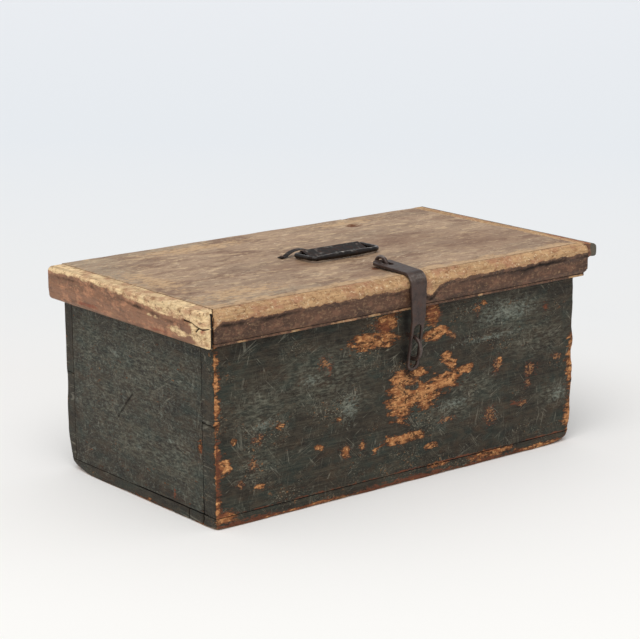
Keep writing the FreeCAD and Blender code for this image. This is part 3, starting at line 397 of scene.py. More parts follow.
class Finish:
    """Colour, roughness and height in millimetres of a surface, laid up in coats."""

    def __init__(self, name, colour, roughness):
        self.material = bpy.data.materials.new(name)
        self.material.use_nodes = True
        self.tree = self.material.node_tree
        self.tree.nodes.clear()
        self.place = add(self.tree, "ShaderNodeTexCoord").outputs["Object"]
        self.colour = colour
        self.roughness = roughness
        self.height = 0.0

    def ranged(self, value, low, high):
        """0 up to low and 1 from high on, or the other way round where high is the smaller."""
        return add(self.tree, "ShaderNodeMapRange", {
            "Value": value, "From Min": low, "From Max": high}, clamp=True)

    def noise(self, size, low, high, **more):
        """A mask of patches of noise: 0 where it is under low, 1 where it is over high."""
        return self.ranged(noise_at(self.tree, self.place, size, **more), low, high)

    def hairs(self, size, width, turn, seed):
        """Thin wandering lines, broken off here and there."""
        value = noise_at(self.tree, self.place, size, detail=1.0, turn=turn, seed=seed)
        side = add(self.tree, "ShaderNodeMath", {0: value, 1: 0.5}, operation="SUBTRACT")
        off = add(self.tree, "ShaderNodeMath", {0: side}, operation="ABSOLUTE")
        broken = self.noise((26, 26, 26), 0.54, 0.62, detail=3.0, seed=seed + 5.0)
        return self.times(self.ranged(off, width, width * 0.3), broken)

    def times(self, *masks):
        """Where all of the masks meet. A plain number thins the rest."""
        product = masks[0]
        for mask in masks[1:]:
            product = add(self.tree, "ShaderNodeMath", {0: product, 1: mask}, operation="MULTIPLY")
        return product

    def outside(self, mask):
        """Where the mask isn't."""
        return add(self.tree, "ShaderNodeMath", {0: 1.0, 1: mask}, operation="SUBTRACT")

    def ragged(self, name, edge, amount, low, high):
        """A mask from a mesh mark, its border broken up by the edge noise."""
        moved = add(self.tree, "ShaderNodeMath", {
            0: mark(self.tree, name), 1: self.times(edge, amount)})
        return self.ranged(moved, low, high)

    def coat(self, colour, roughness, height, *masks):
        """Covers the surface where all of the masks meet."""
        where = self.times(*masks)
        colour = linear(colour) if isinstance(colour, str) else colour
        self.colour = add(self.tree, "ShaderNodeMix", {
            "Factor": where, "A": self.colour, "B": colour}, data_type="RGBA")
        self.roughness = add(self.tree, "ShaderNodeMix", {
            "Factor": where, "A": self.roughness, "B": roughness})
        if height:
            self.height = add(self.tree, "ShaderNodeMath", {
                0: where, 1: height, 2: self.height}, operation="MULTIPLY_ADD")

    def patches(self, rows, *masks):
        """One coat of patches of noise for each row, kept within the masks.

        A row holds colour, roughness, height and amount, then the size of the noise in
        millimetres, its low and high as in ranged, its detail, seed and roughness.
        """
        for colour, roughness, height, amount, size, low, high, detail, seed, rough in rows:
            spots = self.noise(size, low, high, detail=detail, seed=seed, rough=rough)
            self.coat(colour, roughness, height, spots, *masks, amount)

    def done(self, metallic=0.0, specular=0.5):
        """The material, with its height turned to bump."""
        raised = add(self.tree, "ShaderNodeBump", {
            "Height": self.height, "Distance": MM, "Strength": 1.0})
        shader = add(self.tree, "ShaderNodeBsdfPrincipled", {
            "Base Color": self.colour, "Roughness": self.roughness, "Normal": raised,
            "Metallic": metallic, "Specular IOR Level": specular})
        add(self.tree, "ShaderNodeOutputMaterial", {"Surface": shader})
        return self.material


# Sizes of noise in millimetres that follow a board along one axis. Grain is long streaks a few
# millimetres wide. Real fibre is far finer, and is drawn nearly a millimetre wide so that it shows.
GRAIN = {"X": (120.0, 5.0, 2.6), "Y": (5.0, 120.0, 2.6)}
FIBRE = {"X": (30.0, 0.9, 0.7), "Y": (0.9, 30.0, 0.7)}
BRUSHED = {"X": (90.0, 3.0, 1.5), "Y": (3.0, 90.0, 1.5)}
PITTED = {"X": (4.0, 5.0, 2.6), "Y": (5.0, 4.0, 2.6)}


def painted_pine(name, along):
    """Pine boards brushed with dark grey-green oil paint over a thin red-brown ground.

    The paint is matt and grimy, scuffed grey where hands pass, and crumbles off to ochre wood.
    """
    wood = setting("wood")
    bare, paint = opaque(wood.bare_pine), opaque(wood.paint)
    f = Finish(name, bare, 0.8)
    # the wood: grain, brown stains, remnants of ground and pale splinters
    f.coat(shade(bare, 0.62), 0.82, -0.1, f.noise(GRAIN[along], 0.44, 0.66, detail=5.0))
    f.patches((
        ("#7f4c2c", 0.8, -0.15, 0.85, (14, 14, 7), 0.46, 0.54, 9, 0, 0.7),
        ("#3f291c", 0.85, -0.3, 0.9, (9, 9, 4), 0.53, 0.56, 9, 20, 0.74),
        ("#dda46c", 0.76, 0.1, 0.85, (4, 4, 2.6), 0.54, 0.6, 8, 21, 0.72)))
    # the paint and its ground, whole where the wood isn't bare and crumbling at the border
    crumb = f.noise((15, 15, 7), 0.33, 0.67, detail=9.0, rough=0.68)
    fine = f.noise((9, 9, 3), 0.33, 0.67, detail=9.0, rough=0.72, seed=22.0)
    spread = (0.5, 0.62) if along == "X" else (0.56, 0.72)
    patchy = f.noise((65, 65, 40), *spread, detail=4.0, seed=1.0)
    grip = add(f.tree, "ShaderNodeMath", {0: f.times(crumb, 1.05), 1: f.times(fine, 0.85)})
    loss = add(f.tree, "ShaderNodeMath", {0: mark(f.tree, "bare"), 1: 0.25})
    hold = add(f.tree, "ShaderNodeMath", {0: grip, 1: loss}, operation="SUBTRACT")
    chips = f.times(f.noise((4, 4, 2.6), 0.6, 0.64, detail=8.0, seed=2.0), patchy)
    whole = f.outside(chips)
    painted = f.times(f.ranged(hold, 0.68, 0.73), whole)
    f.coat("#856648", 0.78, 0.0, chips, 0.85)
    f.coat("#54301f", 0.74, 0.08, f.ranged(hold, 0.34, 0.6), whole, 0.85)
    f.coat(paint, 0.56, 0.16, painted)
    # what lies on the paint: old coats showing through, brush strokes, dust, scuffs and scratches
    f.patches((
        ("#231e17", 0.5, 0.0, 0.85, (60, 60, 34), 0.4, 0.62, 6, 0, 0.6),
        ("#2b3832", 0.56, 0.0, 0.55, (38, 38, 20), 0.46, 0.62, 7, 3, 0.6),
        ("#4d4538", 0.6, 0.0, 0.5, (14, 14, 8), 0.46, 0.66, 8, 4, 0.6),
        ("#4b3828", 0.62, 0.0, 0.45, (26, 26, 13), 0.53, 0.67, 8, 5, 0.6),
        ("#5f5a4a", 0.6, 0.05, 0.3, BRUSHED[along], 0.48, 0.66, 5, 6, 0.6),
        ("#1b1611", 0.56, -0.08, 0.4, FIBRE[along], 0.53, 0.66, 3, 7, 0.6)), painted)
    # dust is drawn in specks of two millimetres, coarser than it is, so that it shows
    dust = f.noise((2.2, 2.2, 1.5), 0.57, 0.64, detail=5.0, seed=8.0)
    f.coat("#9a9480", 0.7, 0.0, dust, patchy, painted, 0.55)
    scuffs = f.noise((8, 8, 2.4), 0.46, 0.64, detail=8.0, rough=0.7, seed=9.0)
    rub = f.ranged(mark(f.tree, "rub"), -0.1, 0.9)
    f.coat("#807f6f", 0.68, 0.0, scuffs, rub, painted, 0.5)
    tiny = f.noise((3.6, 3.6, 2), 0.36, 0.66, detail=6.0, rough=0.7, seed=23.0)
    f.coat("#8d9488", 0.68, 0.0, f.ragged("pale", tiny, 1.3, 0.95, 1.9), painted, 0.62)
    f.coat("#55291e", 0.74, -0.08, f.ragged("pecked", tiny, 1.0, 0.95, 1.12), painted, 0.75)
    f.coat("#a57a52", 0.78, -0.12, f.ragged("pecked", tiny, 1.0, 1.2, 1.34), painted, 0.78)
    for number, tilt in enumerate((0.5, -0.85, 1.3, -1.45)):
        turn = (0.0, tilt, 0.0) if along == "X" else (tilt, 0.0, 0.0)
        scratches = f.hairs((130, 130, 6), 0.01, turn, 10.0 + number)
        f.coat("#a8a492", 0.62, -0.08, scratches, painted, 0.28)
    f.coat("#75412a", 0.72, 0.0, f.ragged("red", fine, 1.7, 1.0, 1.35), 0.75)
    # the clean wood inside, and dirt over all, which also holds the painted shadow behind the hasp
    inner = f.ranged(mark(f.tree, "inner"), 0.2, 0.8)
    f.coat("#a07a54", 0.7, 0.0, inner)
    f.coat("#84603f", 0.72, 0.0, inner, f.noise(GRAIN[along], 0.42, 0.66, detail=4.0))
    f.coat("#6e5138", 0.7, 0.0, inner, f.noise((50, 50, 30), 0.5, 0.7, detail=6.0), 0.6)
    f.coat("#17120e", 0.85, 0.0, f.ragged("dark", crumb, 0.4, 0.3, 1.0), 0.9)
    return f.done(specular=0.2)


def weathered_pine(name):
    """The lid's wide pine board, handled and scrubbed until its finish is nearly gone.

    Grey-brown with dirt in the grain, pale along the front, rust round old nails.
    """
    base = opaque(setting("wood").lid_pine)
    f = Finish(name, base, 0.6)
    f.patches((
        (shade(base, 0.66), 0.56, -0.05, 0.9, (110, 40, 30), 0.42, 0.64, 7, 0, 0.66),
        ("#785740", 0.55, 0.0, 0.82, (60, 30, 30), 0.5, 0.6, 9, 1, 0.66),
        ("#73573f", 0.62, -0.1, 0.4, (70, 3.6, 3.6), 0.48, 0.68, 5, 2, 0.6),
        ("#cfb28d", 0.66, 0.03, 0.66, (22, 8, 6), 0.53, 0.61, 9, 3, 0.7),
        ("#5f4431", 0.62, -0.1, 0.66, (16, 6, 5), 0.54, 0.63, 9, 4, 0.72),
        ("#dec7a4", 0.7, 0.0, 0.6, (7, 3, 3), 0.6, 0.66, 7, 5, 0.6),
        ("#5c4733", 0.66, -0.08, 0.35, FIBRE["X"], 0.55, 0.7, 2, 6, 0.6)))
    # under the lid the wood has kept a plain brown
    worn = mark(f.tree, "worn")
    kept = f.outside(worn)
    f.coat("#8b6e50", 0.62, 0.0, kept, 0.8)
    grain = f.noise(GRAIN["X"], 0.42, 0.66, detail=4.0, seed=11.0)
    f.coat("#77593c", 0.64, -0.05, kept, grain, 0.8)
    for number, tilt in enumerate((0.35, -0.5, 1.1)):
        scratches = f.hairs((90, 6, 90), 0.014, (0.0, 0.0, tilt), 14.0 + number)
        f.coat("#e2ceb0", 0.66, -0.06, scratches, worn, 0.4)
    grit = f.noise((10, 6, 6), 0.33, 0.67, detail=9.0, rough=0.68, seed=8.0)
    f.coat("#7b5a42", 0.55, 0.0, f.ragged("brown", grit, 0.7, 0.2, 1.3), 0.7)
    speckle = f.noise((4, 2.4, 2.4), 0.42, 0.62, detail=7.0, seed=9.0)
    f.coat("#9a947f", 0.62, 0.0, f.ragged("rub", grit, 0.9, 0.5, 1.4), speckle, 0.55)
    bare = f.ragged("bare", grit, 1.0, 0.85, 1.25)
    f.coat("#c5a47e", 0.74, 0.04, bare, 0.85)
    pits = f.noise((7, 3, 3), 0.52, 0.64, detail=8.0, seed=10.0)
    f.coat("#7a5636", 0.76, -0.14, bare, pits, 0.75)
    f.coat("#64391f", 0.8, 0.0, f.ragged("red", grit, 0.8, 0.7, 1.2))
    f.coat("#1d1510", 0.85, 0.0, f.ragged("dark", grit, 0.3, 0.6, 0.9))
    return f.done(specular=0.4)


def rubbed_moulding(name, along, stain, bare="#c09a70"):
    """Pine moulding stained red-brown, its upper edge rubbed down to pale, gritty wood."""
    bare = linear(bare)
    f = Finish(name, bare, 0.76)
    f.coat(shade(bare, 0.72), 0.78, -0.1, f.noise(GRAIN[along], 0.42, 0.62))
    f.patches((
        ("#a5755a", 0.78, -0.05, 0.7, (20, 20, 9), 0.48, 0.6, 8, 9, 0.66),
        ("#86603f", 0.8, -0.14, 0.8, (8, 8, 5), 0.5, 0.64, 8, 0, 0.7),
        ("#e0c8a2", 0.74, 0.08, 0.75, (3.4, 3.4, 2.4), 0.56, 0.64, 7, 1, 0.7),
        ("#543826", 0.8, -0.12, 0.7, (3.6, 3.6, 2.4), 0.6, 0.66, 7, 2, 0.6)))
    crumb = f.noise((11, 11, 7), 0.33, 0.67, detail=9.0, rough=0.66)
    rough_edge = add(f.tree, "ShaderNodeMath", {
        0: f.times(crumb, 0.9), 1: mark(f.tree, "bare")}, operation="SUBTRACT")
    stained = f.ranged(rough_edge, 0.36, 0.46)
    f.coat("#94694a", 0.7, 0.0, f.ranged(rough_edge, 0.12, 0.34), 0.55)
    f.coat(stain, 0.5, 0.12, stained)
    f.patches((
        (shade(stain, 0.45), 0.46, 0.0, 0.8, (34, 34, 14), 0.44, 0.62, 8, 3, 0.68),
        (shade(stain, 1.9), 0.56, 0.0, 0.65, (14, 14, 9), 0.52, 0.6, 9, 4, 0.68),
        ("#9c7d5e", 0.6, 0.0, 0.45, PITTED[along], 0.52, 0.66, 6, 5, 0.6),
        ("#2a1d16", 0.55, -0.08, 0.5, FIBRE[along], 0.56, 0.7, 3, 6, 0.6),
        ("#c3a47b", 0.66, 0.0, 0.7, (2.8, 2.8, 2.2), 0.66, 0.7, 5, 7, 0.6)), stained)
    f.coat("#4f5147", 0.5, 0.05, f.ragged("rub", crumb, 0.7, 0.5, 0.95), 0.8)
    f.coat("#8a4632", 0.7, 0.0, f.ragged("red", crumb, 0.8, 0.7, 1.2), 0.7)
    # dark: dirt in the mitres and cracks, and painted shade under the rubbed border and in the
    # quirk above the bead
    f.coat("#1c120c", 0.85, 0.0, f.ragged("dark", crumb, 0.3, 0.5, 0.9))
    return f.done(specular=0.28)


def forged_iron(name, base, rust, shine, rough, rusty):
    """Hand-forged wrought iron: fire scale and brown rust, burnished where it rubs, with pale
    painted highlights there.
    """
    f = Finish(name, base, rough)
    f.patches((
        (shade(base, 0.55), rough - 0.06, -0.06, 1.0, (9, 9, 9), 0.42, 0.66, 5, 0, 0.6),
        (rust, 0.62, 0.05, rusty, (6, 6, 6), 0.52, 0.68, 7, 2, 0.6),
        (shade(base, 2.4), rough, 0.06, 0.5, (1.8, 1.8, 1.8), 0.58, 0.74, 4, 4, 0.6)))
    patches = f.noise((3, 3, 3), 0.42, 0.6, detail=6.0, rough=0.7, seed=6.0)
    rubbed = add(f.tree, "ShaderNodeMath", {0: patches, 1: 0.7, 2: 0.3}, operation="MULTIPLY_ADD")
    # the rubbed places get a pale painted highlight as well as their wear
    f.coat(shine, 0.28, 0.0, mark(f.tree, "bare"), rubbed)
    return f.done(metallic=0.35, specular=0.4)


# ---------------- geometry trees

def geometry_tree(name, wanted):
    """A new geometry tree with the wanted inputs (name, kind, default), and the node of them."""
    tree = bpy.data.node_groups.new(name, "GeometryNodeTree")
    wanted = (("Geometry", "Geometry", None), *wanted, ("Material", "Material", None))
    for label, kind, default in wanted:
        socket = tree.interface.new_socket(label, in_out="INPUT", socket_type="NodeSocket" + kind)
        if default is not None:
            socket.default_value = default
    tree.interface.new_socket("Geometry", in_out="OUTPUT", socket_type="NodeSocketGeometry")
    return tree, tree.nodes.new("NodeGroupInput")


def end_tree(tree, given, geometry):
    """Ends a geometry tree in plain geometry with its material."""
    whole = add(tree, "GeometryNodeRealizeInstances", {"Geometry": geometry})
    dressed = add(tree, "GeometryNodeSetMaterial", {
        "Geometry": whole, "Material": given.outputs["Material"]})
    add(tree, "NodeGroupOutput", {"Geometry": dressed})
    return tree


def dented_surface_tree(name):
    """Pushes a surface in along its normals by two sizes of noise."""
    tree, given = geometry_tree(name, (
        ("Dent Size", "Float", 0.02), ("Dent Depth", "Float", 0.0005),
        ("Fine Size", "Float", 0.004), ("Fine Depth", "Float", 0.0001), ("Seed", "Float", 0.0)))
    place = add(tree, "GeometryNodeInputPosition")
    depths = []
    for size, amount in (("Dent Size", "Dent Depth"), ("Fine Size", "Fine Depth")):
        scale = add(tree, "ShaderNodeMath", {0: 1.0, 1: given.outputs[size]}, operation="DIVIDE")
        noise = add(tree, "ShaderNodeTexNoise", {
            "Vector": place, "W": given.outputs["Seed"], "Scale": scale, "Detail": 1.0},
            noise_dimensions="4D")
        depths.append(add(tree, "ShaderNodeMath", {0: noise, 1: given.outputs[amount]},
                          operation="MULTIPLY"))
    depth = add(tree, "ShaderNodeMath", dict(enumerate(depths)))
    inward = add(tree, "ShaderNodeMath", {0: depth, 1: -1.0}, operation="MULTIPLY")
    move = add(tree, "ShaderNodeVectorMath", {
        0: add(tree, "GeometryNodeInputNormal"), "Scale": inward}, operation="SCALE")
    return end_tree(tree, given, add(tree, "GeometryNodeSetPosition", {
        "Geometry": given, "Offset": move}))


def nail_tree(name):
    """A square forged nail at every point, driven the way of the point's drive vector."""
    tree, given = geometry_tree(name, (
        ("Head Width", "Float", 0.0062), ("Head Height", "Float", 0.0015),
        ("Shank Length", "Float", 0.012), ("Seed", "Int", 0)))
    # half of the head's diagonal, and the crown, shank and tip as shares of it
    half = add(tree, "ShaderNodeMath", {0: given.outputs["Head Width"], 1: 0.7071},
               operation="MULTIPLY")
    crown, shank, tip = (add(tree, "ShaderNodeMath", {0: half, 1: share}, operation="MULTIPLY")
                         for share in (0.3, 0.42, 0.14))
    head = add(tree, "GeometryNodeMeshCone", {
        "Vertices": 4, "Side Segments": 3, "Fill Segments": 1, "Radius Top": crown,
        "Radius Bottom": half, "Depth": given.outputs["Head Height"]})
    body = add(tree, "GeometryNodeMeshCone", {
        "Vertices": 4, "Side Segments": 4, "Fill Segments": 1, "Radius Top": shank,
        "Radius Bottom": tip, "Depth": given.outputs["Shank Length"]})
    back = add(tree, "ShaderNodeMath", {0: given.outputs["Shank Length"], 1: -1.0},
               operation="MULTIPLY")
    sunk = add(tree, "GeometryNodeTransform", {
        "Geometry": body, "Translation": add(tree, "ShaderNodeCombineXYZ", {"Z": back})})
    nail = add(tree, "GeometryNodeJoinGeometry")
    for part in (head, sunk):
        tree.links.new(part.outputs[0], nail.inputs[0])
    drive = add(tree, "GeometryNodeInputNamedAttribute", {"Name": "drive"},
                data_type="FLOAT_VECTOR")
    outward = add(tree, "ShaderNodeVectorMath", {0: drive, "Scale": -1.0}, operation="SCALE")
    stood = add(tree, "FunctionNodeAlignRotationToVector", {"Vector": outward}, axis="Z")
    turn = add(tree, "FunctionNodeRandomValue", {
        "Min": 0.3, "Max": 1.3, "Seed": given.outputs["Seed"]}, data_type="FLOAT")
    spin = add(tree, "FunctionNodeAxisAngleToRotation", {"Axis": (0.0, 0.0, 1.0), "Angle": turn})
    facing = add(tree, "FunctionNodeRotateRotation", {"Rotation": stood, "Rotate By": spin},
                 rotation_space="LOCAL")
    return end_tree(tree, given, add(tree, "GeometryNodeInstanceOnPoints", {
        "Points": given, "Instance": nail, "Rotation": facing}))


# ---------------- the box's boards

# Where the front's paint is worn through: x, z, half width, half height, in millimetres.
FRONT_BARE = (
    (-7, 94, 20, 23), (-3, 114, 19, 12), (25, 94, 25, 15), (50, 104, 30, 11), (84, 112, 14, 5),
    (13, 119, 22, 6), (57, 130, 8, 6), (65, 121, 8, 6), (-43, 163, 33, 9), (-27, 182, 15, 9),
    (-58, 168, 14, 6), (37, 180, 10, 13), (43, 158, 20, 7), (111, 182, 4, 4), (-3, 50, 31, 5.5),
    (37, 34, 9, 4.5), (-83, 50, 5, 7), (-117, 62, 6, 3.4), (-169, 95, 5.5, 2.6), (-90, 87, 4, 3),
    (-227, 89, 4, 4), (-60, 53, 3, 4), (-43, 45, 4.5, 3.5), (-196, 37, 8, 3),
    (-239, 66, 8, 10), (-251, 150, 7, 56), (-238, 12, 12, 6), (124, 9, 30, 5), (45, 12, 14, 3),
    (-130, 2, 60, 2), (248, 92, 9, 36), (246, 30, 10, 20), (200, 3, 36, 2.5), (-250, 20, 5, 20),
    (136, 113, 3, 5))
# Places where the paint is only pecked, with wood and ground showing through in specks.
FRONT_PECKED = ((133, 108, 13, 15), (183, 96, 17, 14), (123, 52, 15, 18), (172, 58, 12, 7),
                (67, 152, 8, 6), (179, 80, 8, 12), (223, 103, 12, 7), (-83, 50, 13, 14),
                (-219, 42, 9, 8), (-60, 53, 9, 9), (101, 176, 10, 12), (60, 60, 22, 6),
                (-110, 150, 16, 14), (-204, 62, 10, 12), (-196, 86, 14, 10))
# Islands of paint that hold on within the bare patches.
FRONT_KEPT = ((31, 112, 14, 4.5), (48, 117, 12, 3.5), (12, 104, 5, 3))
# Where the red-brown ground shows.
FRONT_RED = ((205, 163, 4, 7), (-103, 143, 3, 6), (38, 182, 12, 12),
             (-248, 60, 6, 46), (-30, 178, 14, 8), (160, 60, 12, 3.5), (-150, 3, 110, 9),
             (60, 3, 200, 8), (-244, 8, 22, 14))
# Painted shadow behind the hanging hasp and below its staple, with some grime there.
FRONT_HASP_SHADOW = ((0, 176, 10, 34), (-1, 145, 10, 26), (3, 122, 9, 8))
# Scuffed grey by hands.
FRONT_RUB = ((145, 166, 52, 20), (-112, 136, 56, 30), (-195, 118, 40, 26), (60, 68, 40, 14),
             (190, 130, 46, 20), (-200, 60, 26, 20), (100, 90, 30, 16), (215, 60, 22, 14),
             (-75, 105, 30, 10))
# Chalky bloom on the paint, and pale scratches in it.
FRONT_PALE = ((148, 167, 56, 18), (-128, 136, 16, 9), (-78, 98, 16, 22), (120, 142, 70, 5),
              (-104, 150, 2.5, 20), (-64, 156, 2.5, 24), (70, 76, 34, 8), (-190, 100, 22, 9),
              (228, 60, 18, 16))
# The same on the ends: y, z, half width, half height.
END_PALE = ((-77, 141, 5, 5), (117, 82, 5, 7), (-2, 56, 7, 7), (-44, 104, 3, 13), (40, 150, 16, 7),
            (-60, 76, 12, 4))
END_HAZE = 0.2             # faint scratches all over the ends
END_SCRATCH = ((8, 112), (38, 80))       # a long scratch, y and z of its ends
END_RUB = ((0, 146, 64, 50), (-60, 150, 50, 20), (60, 90, 50, 30), (-20, 60, 80, 20),
           (90, 150, 30, 30), (-80, 60, 30, 30))
END_RED = ((-66, 22, 2.4, 8), (-113, 82, 6, 9))
# Outer corners that are knocked round: x, y, z, how far it reaches, and the radius there.
KNOCKED = ((-250, 139, 0, 46, 14), (250, -139, 0, 40, 11), (-250, -139, 0, 26, 5),
           (250, 139, 0, 30, 7))
CHECK_Z = 108.0          # drying crack in the end grain of the front and back boards
SPLIT_Y = -116.0         # split in the narrow bottom board
BOTTOM_SEAM_Y = -91.0    # seam between the two bottom boards
NAIL_HOLE = (-112.5, 82.0, 3.4, 10.0)    # torn nail hole in the left end, as a spot
WORN_LINE_Z = 13.5       # line along the front where paint wears off over a seam
GRIME_DEPTH = 3.5        # how far dirt has crept between two boards
CRACK_WIDTH = 0.9


def blobs(u, v, spots):
    """Greatest of 1 in a spot's middle, 0 at its rim and less outside it."""
    best = np.full(len(u), -1.0)
    for at_u, at_v, half_u, half_v in spots:
        away = np.hypot((u - at_u) / half_u, (v - at_v) / half_v)
        best = np.maximum(best, 1 - away)
    return best


def scored(u, v, path, width):
    """1 along a path of straight lines, fading to 0 a width away from it."""
    near = np.full(len(u), np.inf)
    for (u0, v0), (u1, v1) in zip(path[:-1], path[1:]):
        du, dv = u1 - u0, v1 - v0
        t = np.clip(((u - u0) * du + (v - v0) * dv) / (du * du + dv * dv), 0, 1)
        near = np.minimum(near, np.hypot(u - u0 - t * du, v - v0 - t * dv))
    return np.clip(1 - near / width, 0, 1)


def clear_marks(points, *names):
    """Marks that touch none of the points."""
    return {name: np.full(len(points), -1.0) for name in names}


def mark_face(marks, face, **values):
    """Sets marks on one face of a piece, and clears them elsewhere."""
    for name, value in values.items():
        marks[name] = np.where(face, value, -1)


def outside_distance(points):
    """How far points lie from the box's nearest outer face, and from its nearest outer edge."""
    sides = np.stack([np.minimum(points[:, X] - BOX_LOW[X], BOX_HIGH[X] - points[:, X]),
                      np.minimum(points[:, Y] - BOX_LOW[Y], BOX_HIGH[Y] - points[:, Y]),
                      points[:, Z] - BOX_LOW[Z]], 1)
    return np.sort(sides, axis=1).T[:2]


def outer_radius(points, base):
    """How far the outer edges are rounded, point by point."""
    radius = base * (1.3 + 0.7 * ripple(points, 24, 3))
    radius += 1.6 * fade(ripple(points, 15, 5), 0.35, 0.9)
    # the right front corner is chewed all the way up
    right_front = fade(points[:, X], 236, 249) * fade(-points[:, Y], 126, 138)
    radius += right_front * (2.0 + 2.6 * ripple(points, 17, 9) + 1.2 * ripple(points, 6, 10))
    for x, y, z, reach, wanted in KNOCKED:
        away = np.linalg.norm(points - (x, y, z), axis=1)
        radius += (wanted - base) * (1 - fade(away, 0, reach))
    return np.maximum(radius, 0.5)


def board(name, step, crowded=None, seam=None):
    """One board of the box: its own edges softened, the chest's corners worn, marks for its paint.

    Mesh lines crowd at the places named, and seam gives more rounding, point by point.
    """
    wood = setting("wood")
    low, high = box_mm(name)
    crowded = crowded or {}
    points, faces = grid_block(*(lines(low[axis], high[axis], step, crowded.get(axis, ()))
                                 for axis in (X, Y, Z)))
    start = points.copy()
    soft = wood.seam_round / MM * (1 + 0.5 * ripple(points, 12, 1))
    if seam is not None:
        soft = soft + seam(points)
    points = round_off(points, low, high, np.minimum(soft, (high - low).min() / 2.2))
    points = round_off(points, BOX_LOW, BOX_HIGH + (0, 0, PAST),
                       outer_radius(points, wood.corner_round / MM))
    depth, from_edge = outside_distance(start)
    grit = ripple(start, 9, 21) * 0.5 + ripple(start, 4, 22) * 0.3
    bare = -0.75 + 0.98 * np.exp(-from_edge / 3.0) + 0.45 * grit * np.exp(-from_edge / 14)
    # the faces between two boards are dark with dirt near the outside, and clean wood within
    grimy = (depth >= ON_FACE) & (depth < GRIME_DEPTH)
    marks = clear_marks(points, "red", "rub", "pale", "pecked")
    marks["bare"] = np.where(depth < GRIME_DEPTH, bare, 0.9)
    marks["dark"] = np.where(grimy, 1.0, -1.0)
    marks["inner"] = np.where(depth < GRIME_DEPTH, 0.0, 1.0)
    return start, points, faces, marks


def set_board(name, cut, marks, along):
    """Puts a worn board in the place of its CAD node."""
    finish = shared(painted_pine, "oil_painted_pine_" + along.lower(), along)
    dress("worn_", name, cut, marks, (26, setting("wood").dent_depth, 7, 0.12, 0), finish,
          "carcase")


def drying_crack(start, points, marks, axis, place, wander, depth, dirt):
    """Opens a crack in the left end grain, near a place along an axis.

    Wander is how far it strays, over which length and by which seed. Dirt is the strength of
    its dark mark, and what is taken off that.
    """
    stray, length, seed = wander
    line = place + stray * ripple(start, length, seed)
    end = start[:, X] < BOX_LOW[X] + ON_FACE
    opened = end * np.clip(1 - np.abs(start[:, axis] - line) / CRACK_WIDTH, 0, 1)
    points[:, X] += depth * opened
    marks["dark"] = np.maximum(marks["dark"], opened * dirt[0] - dirt[1])


def battered(points):
    """1 low down by the left end, where the joints are battered, and 0 elsewhere."""
    return fade(36 - points[:, Z], 0, 12) * (points[:, X] < -240)


def front_seam(points):
    """More rounding of the front board by the left end board."""
    return 1.7 * battered(points) * (points[:, Y] > -125)


def end_seam(points):
    """More rounding of the left end board by the front board."""
    return 1.3 * battered(points) * (points[:, Y] < 0)


def bottom_seam(points):
    """More rounding where the two bottom boards meet."""
    return 1.3 * (np.abs(points[:, Y] - BOTTOM_SEAM_Y) < 4)


def wear_front(start, marks):
    """Adds the front's bare spots to a board's marks, and says which points are on the front."""
    face = start[:, Y] < BOX_LOW[Y] + ON_FACE
    worn = blobs(start[:, X], start[:, Z], FRONT_BARE)
    worn = np.minimum(worn, 0.1 - blobs(start[:, X], start[:, Z], FRONT_KEPT))
    marks["bare"] = np.where(face, np.maximum(marks["bare"], worn), marks["bare"])
    return face


def front_of_box():
    """The front board: bare patches, pecked and pale spots, and painted shadow with dirt behind the
    hasp.
    """
    start, points, faces, marks = board("front_board", 2.2, {Z: (CHECK_Z,)}, front_seam)
    face = wear_front(start, marks)
    x, z = start[:, X], start[:, Z]
    worn_line = 0.45 - np.abs(z - WORN_LINE_Z) / 2.2 + 0.7 * ripple_along(start, X, 28, 23)
    mark_face(marks, face, pale=blobs(x, z, FRONT_PALE), pecked=blobs(x, z, FRONT_PECKED),
              red=np.maximum(blobs(x, z, FRONT_RED), worn_line), rub=blobs(x, z, FRONT_RUB) + 0.35)
    # painted shadow, with grime, on the board behind the hasp
    marks["dark"] = np.where(face, blobs(x, z, FRONT_HASP_SHADOW) * 0.9, marks["dark"])
    drying_crack(start, points, marks, Z, CHECK_Z, (1.2, 5, 31), 1.5, (1.1, 0.2))
    set_board("front_board", (points, faces), marks, "X")


def back_of_box():
    """The back board, plain and scuffed."""
    start, points, faces, marks = board("back_board", 3.0, {Z: (CHECK_Z + 2,)})
    marks["rub"] = blobs(start[:, X], start[:, Z], FRONT_RUB)
    drying_crack(start, points, marks, Z, CHECK_Z + 2, (1.2, 5, 33), 1.3, (1.1, 0.2))
    set_board("back_board", (points, faces), marks, "X")


def ends_of_box():
    """The end boards, scuffed all over; the left one has a torn nail hole."""
    hole_z = NAIL_HOLE[1]
    for name, step, crowded in (("left_end_board", 2.2, {Z: (hole_z - 6, hole_z, hole_z + 6)}),
                                ("right_end_board", 3.0, None)):
        start, points, faces, marks = board(name, step, crowded, end_seam)
        y, z = start[:, Y], start[:, Z]
        face = np.abs(start[:, X]) > BOX_HIGH[X] - ON_FACE
        mark_face(marks, face, rub=blobs(y, z, END_RUB) + 0.4)
        if name == "left_end_board":
            hole = np.maximum(blobs(y, z, (NAIL_HOLE,)), 0) * face
            points[:, X] += 4.5 * hole
            mark_face(marks, face, red=blobs(y, z, END_RED),
                      pale=np.maximum(blobs(y, z, END_PALE), END_HAZE))
            scratch = scored(y, z, END_SCRATCH, 2.2) * face
            marks["dark"] = np.maximum.reduce([marks["dark"], scratch * 0.9, hole * 1.9 - 0.8])
            marks["bare"] = np.maximum(marks["bare"], hole * 2 - 0.6)
        set_board(name, (points, faces), marks, "Y")


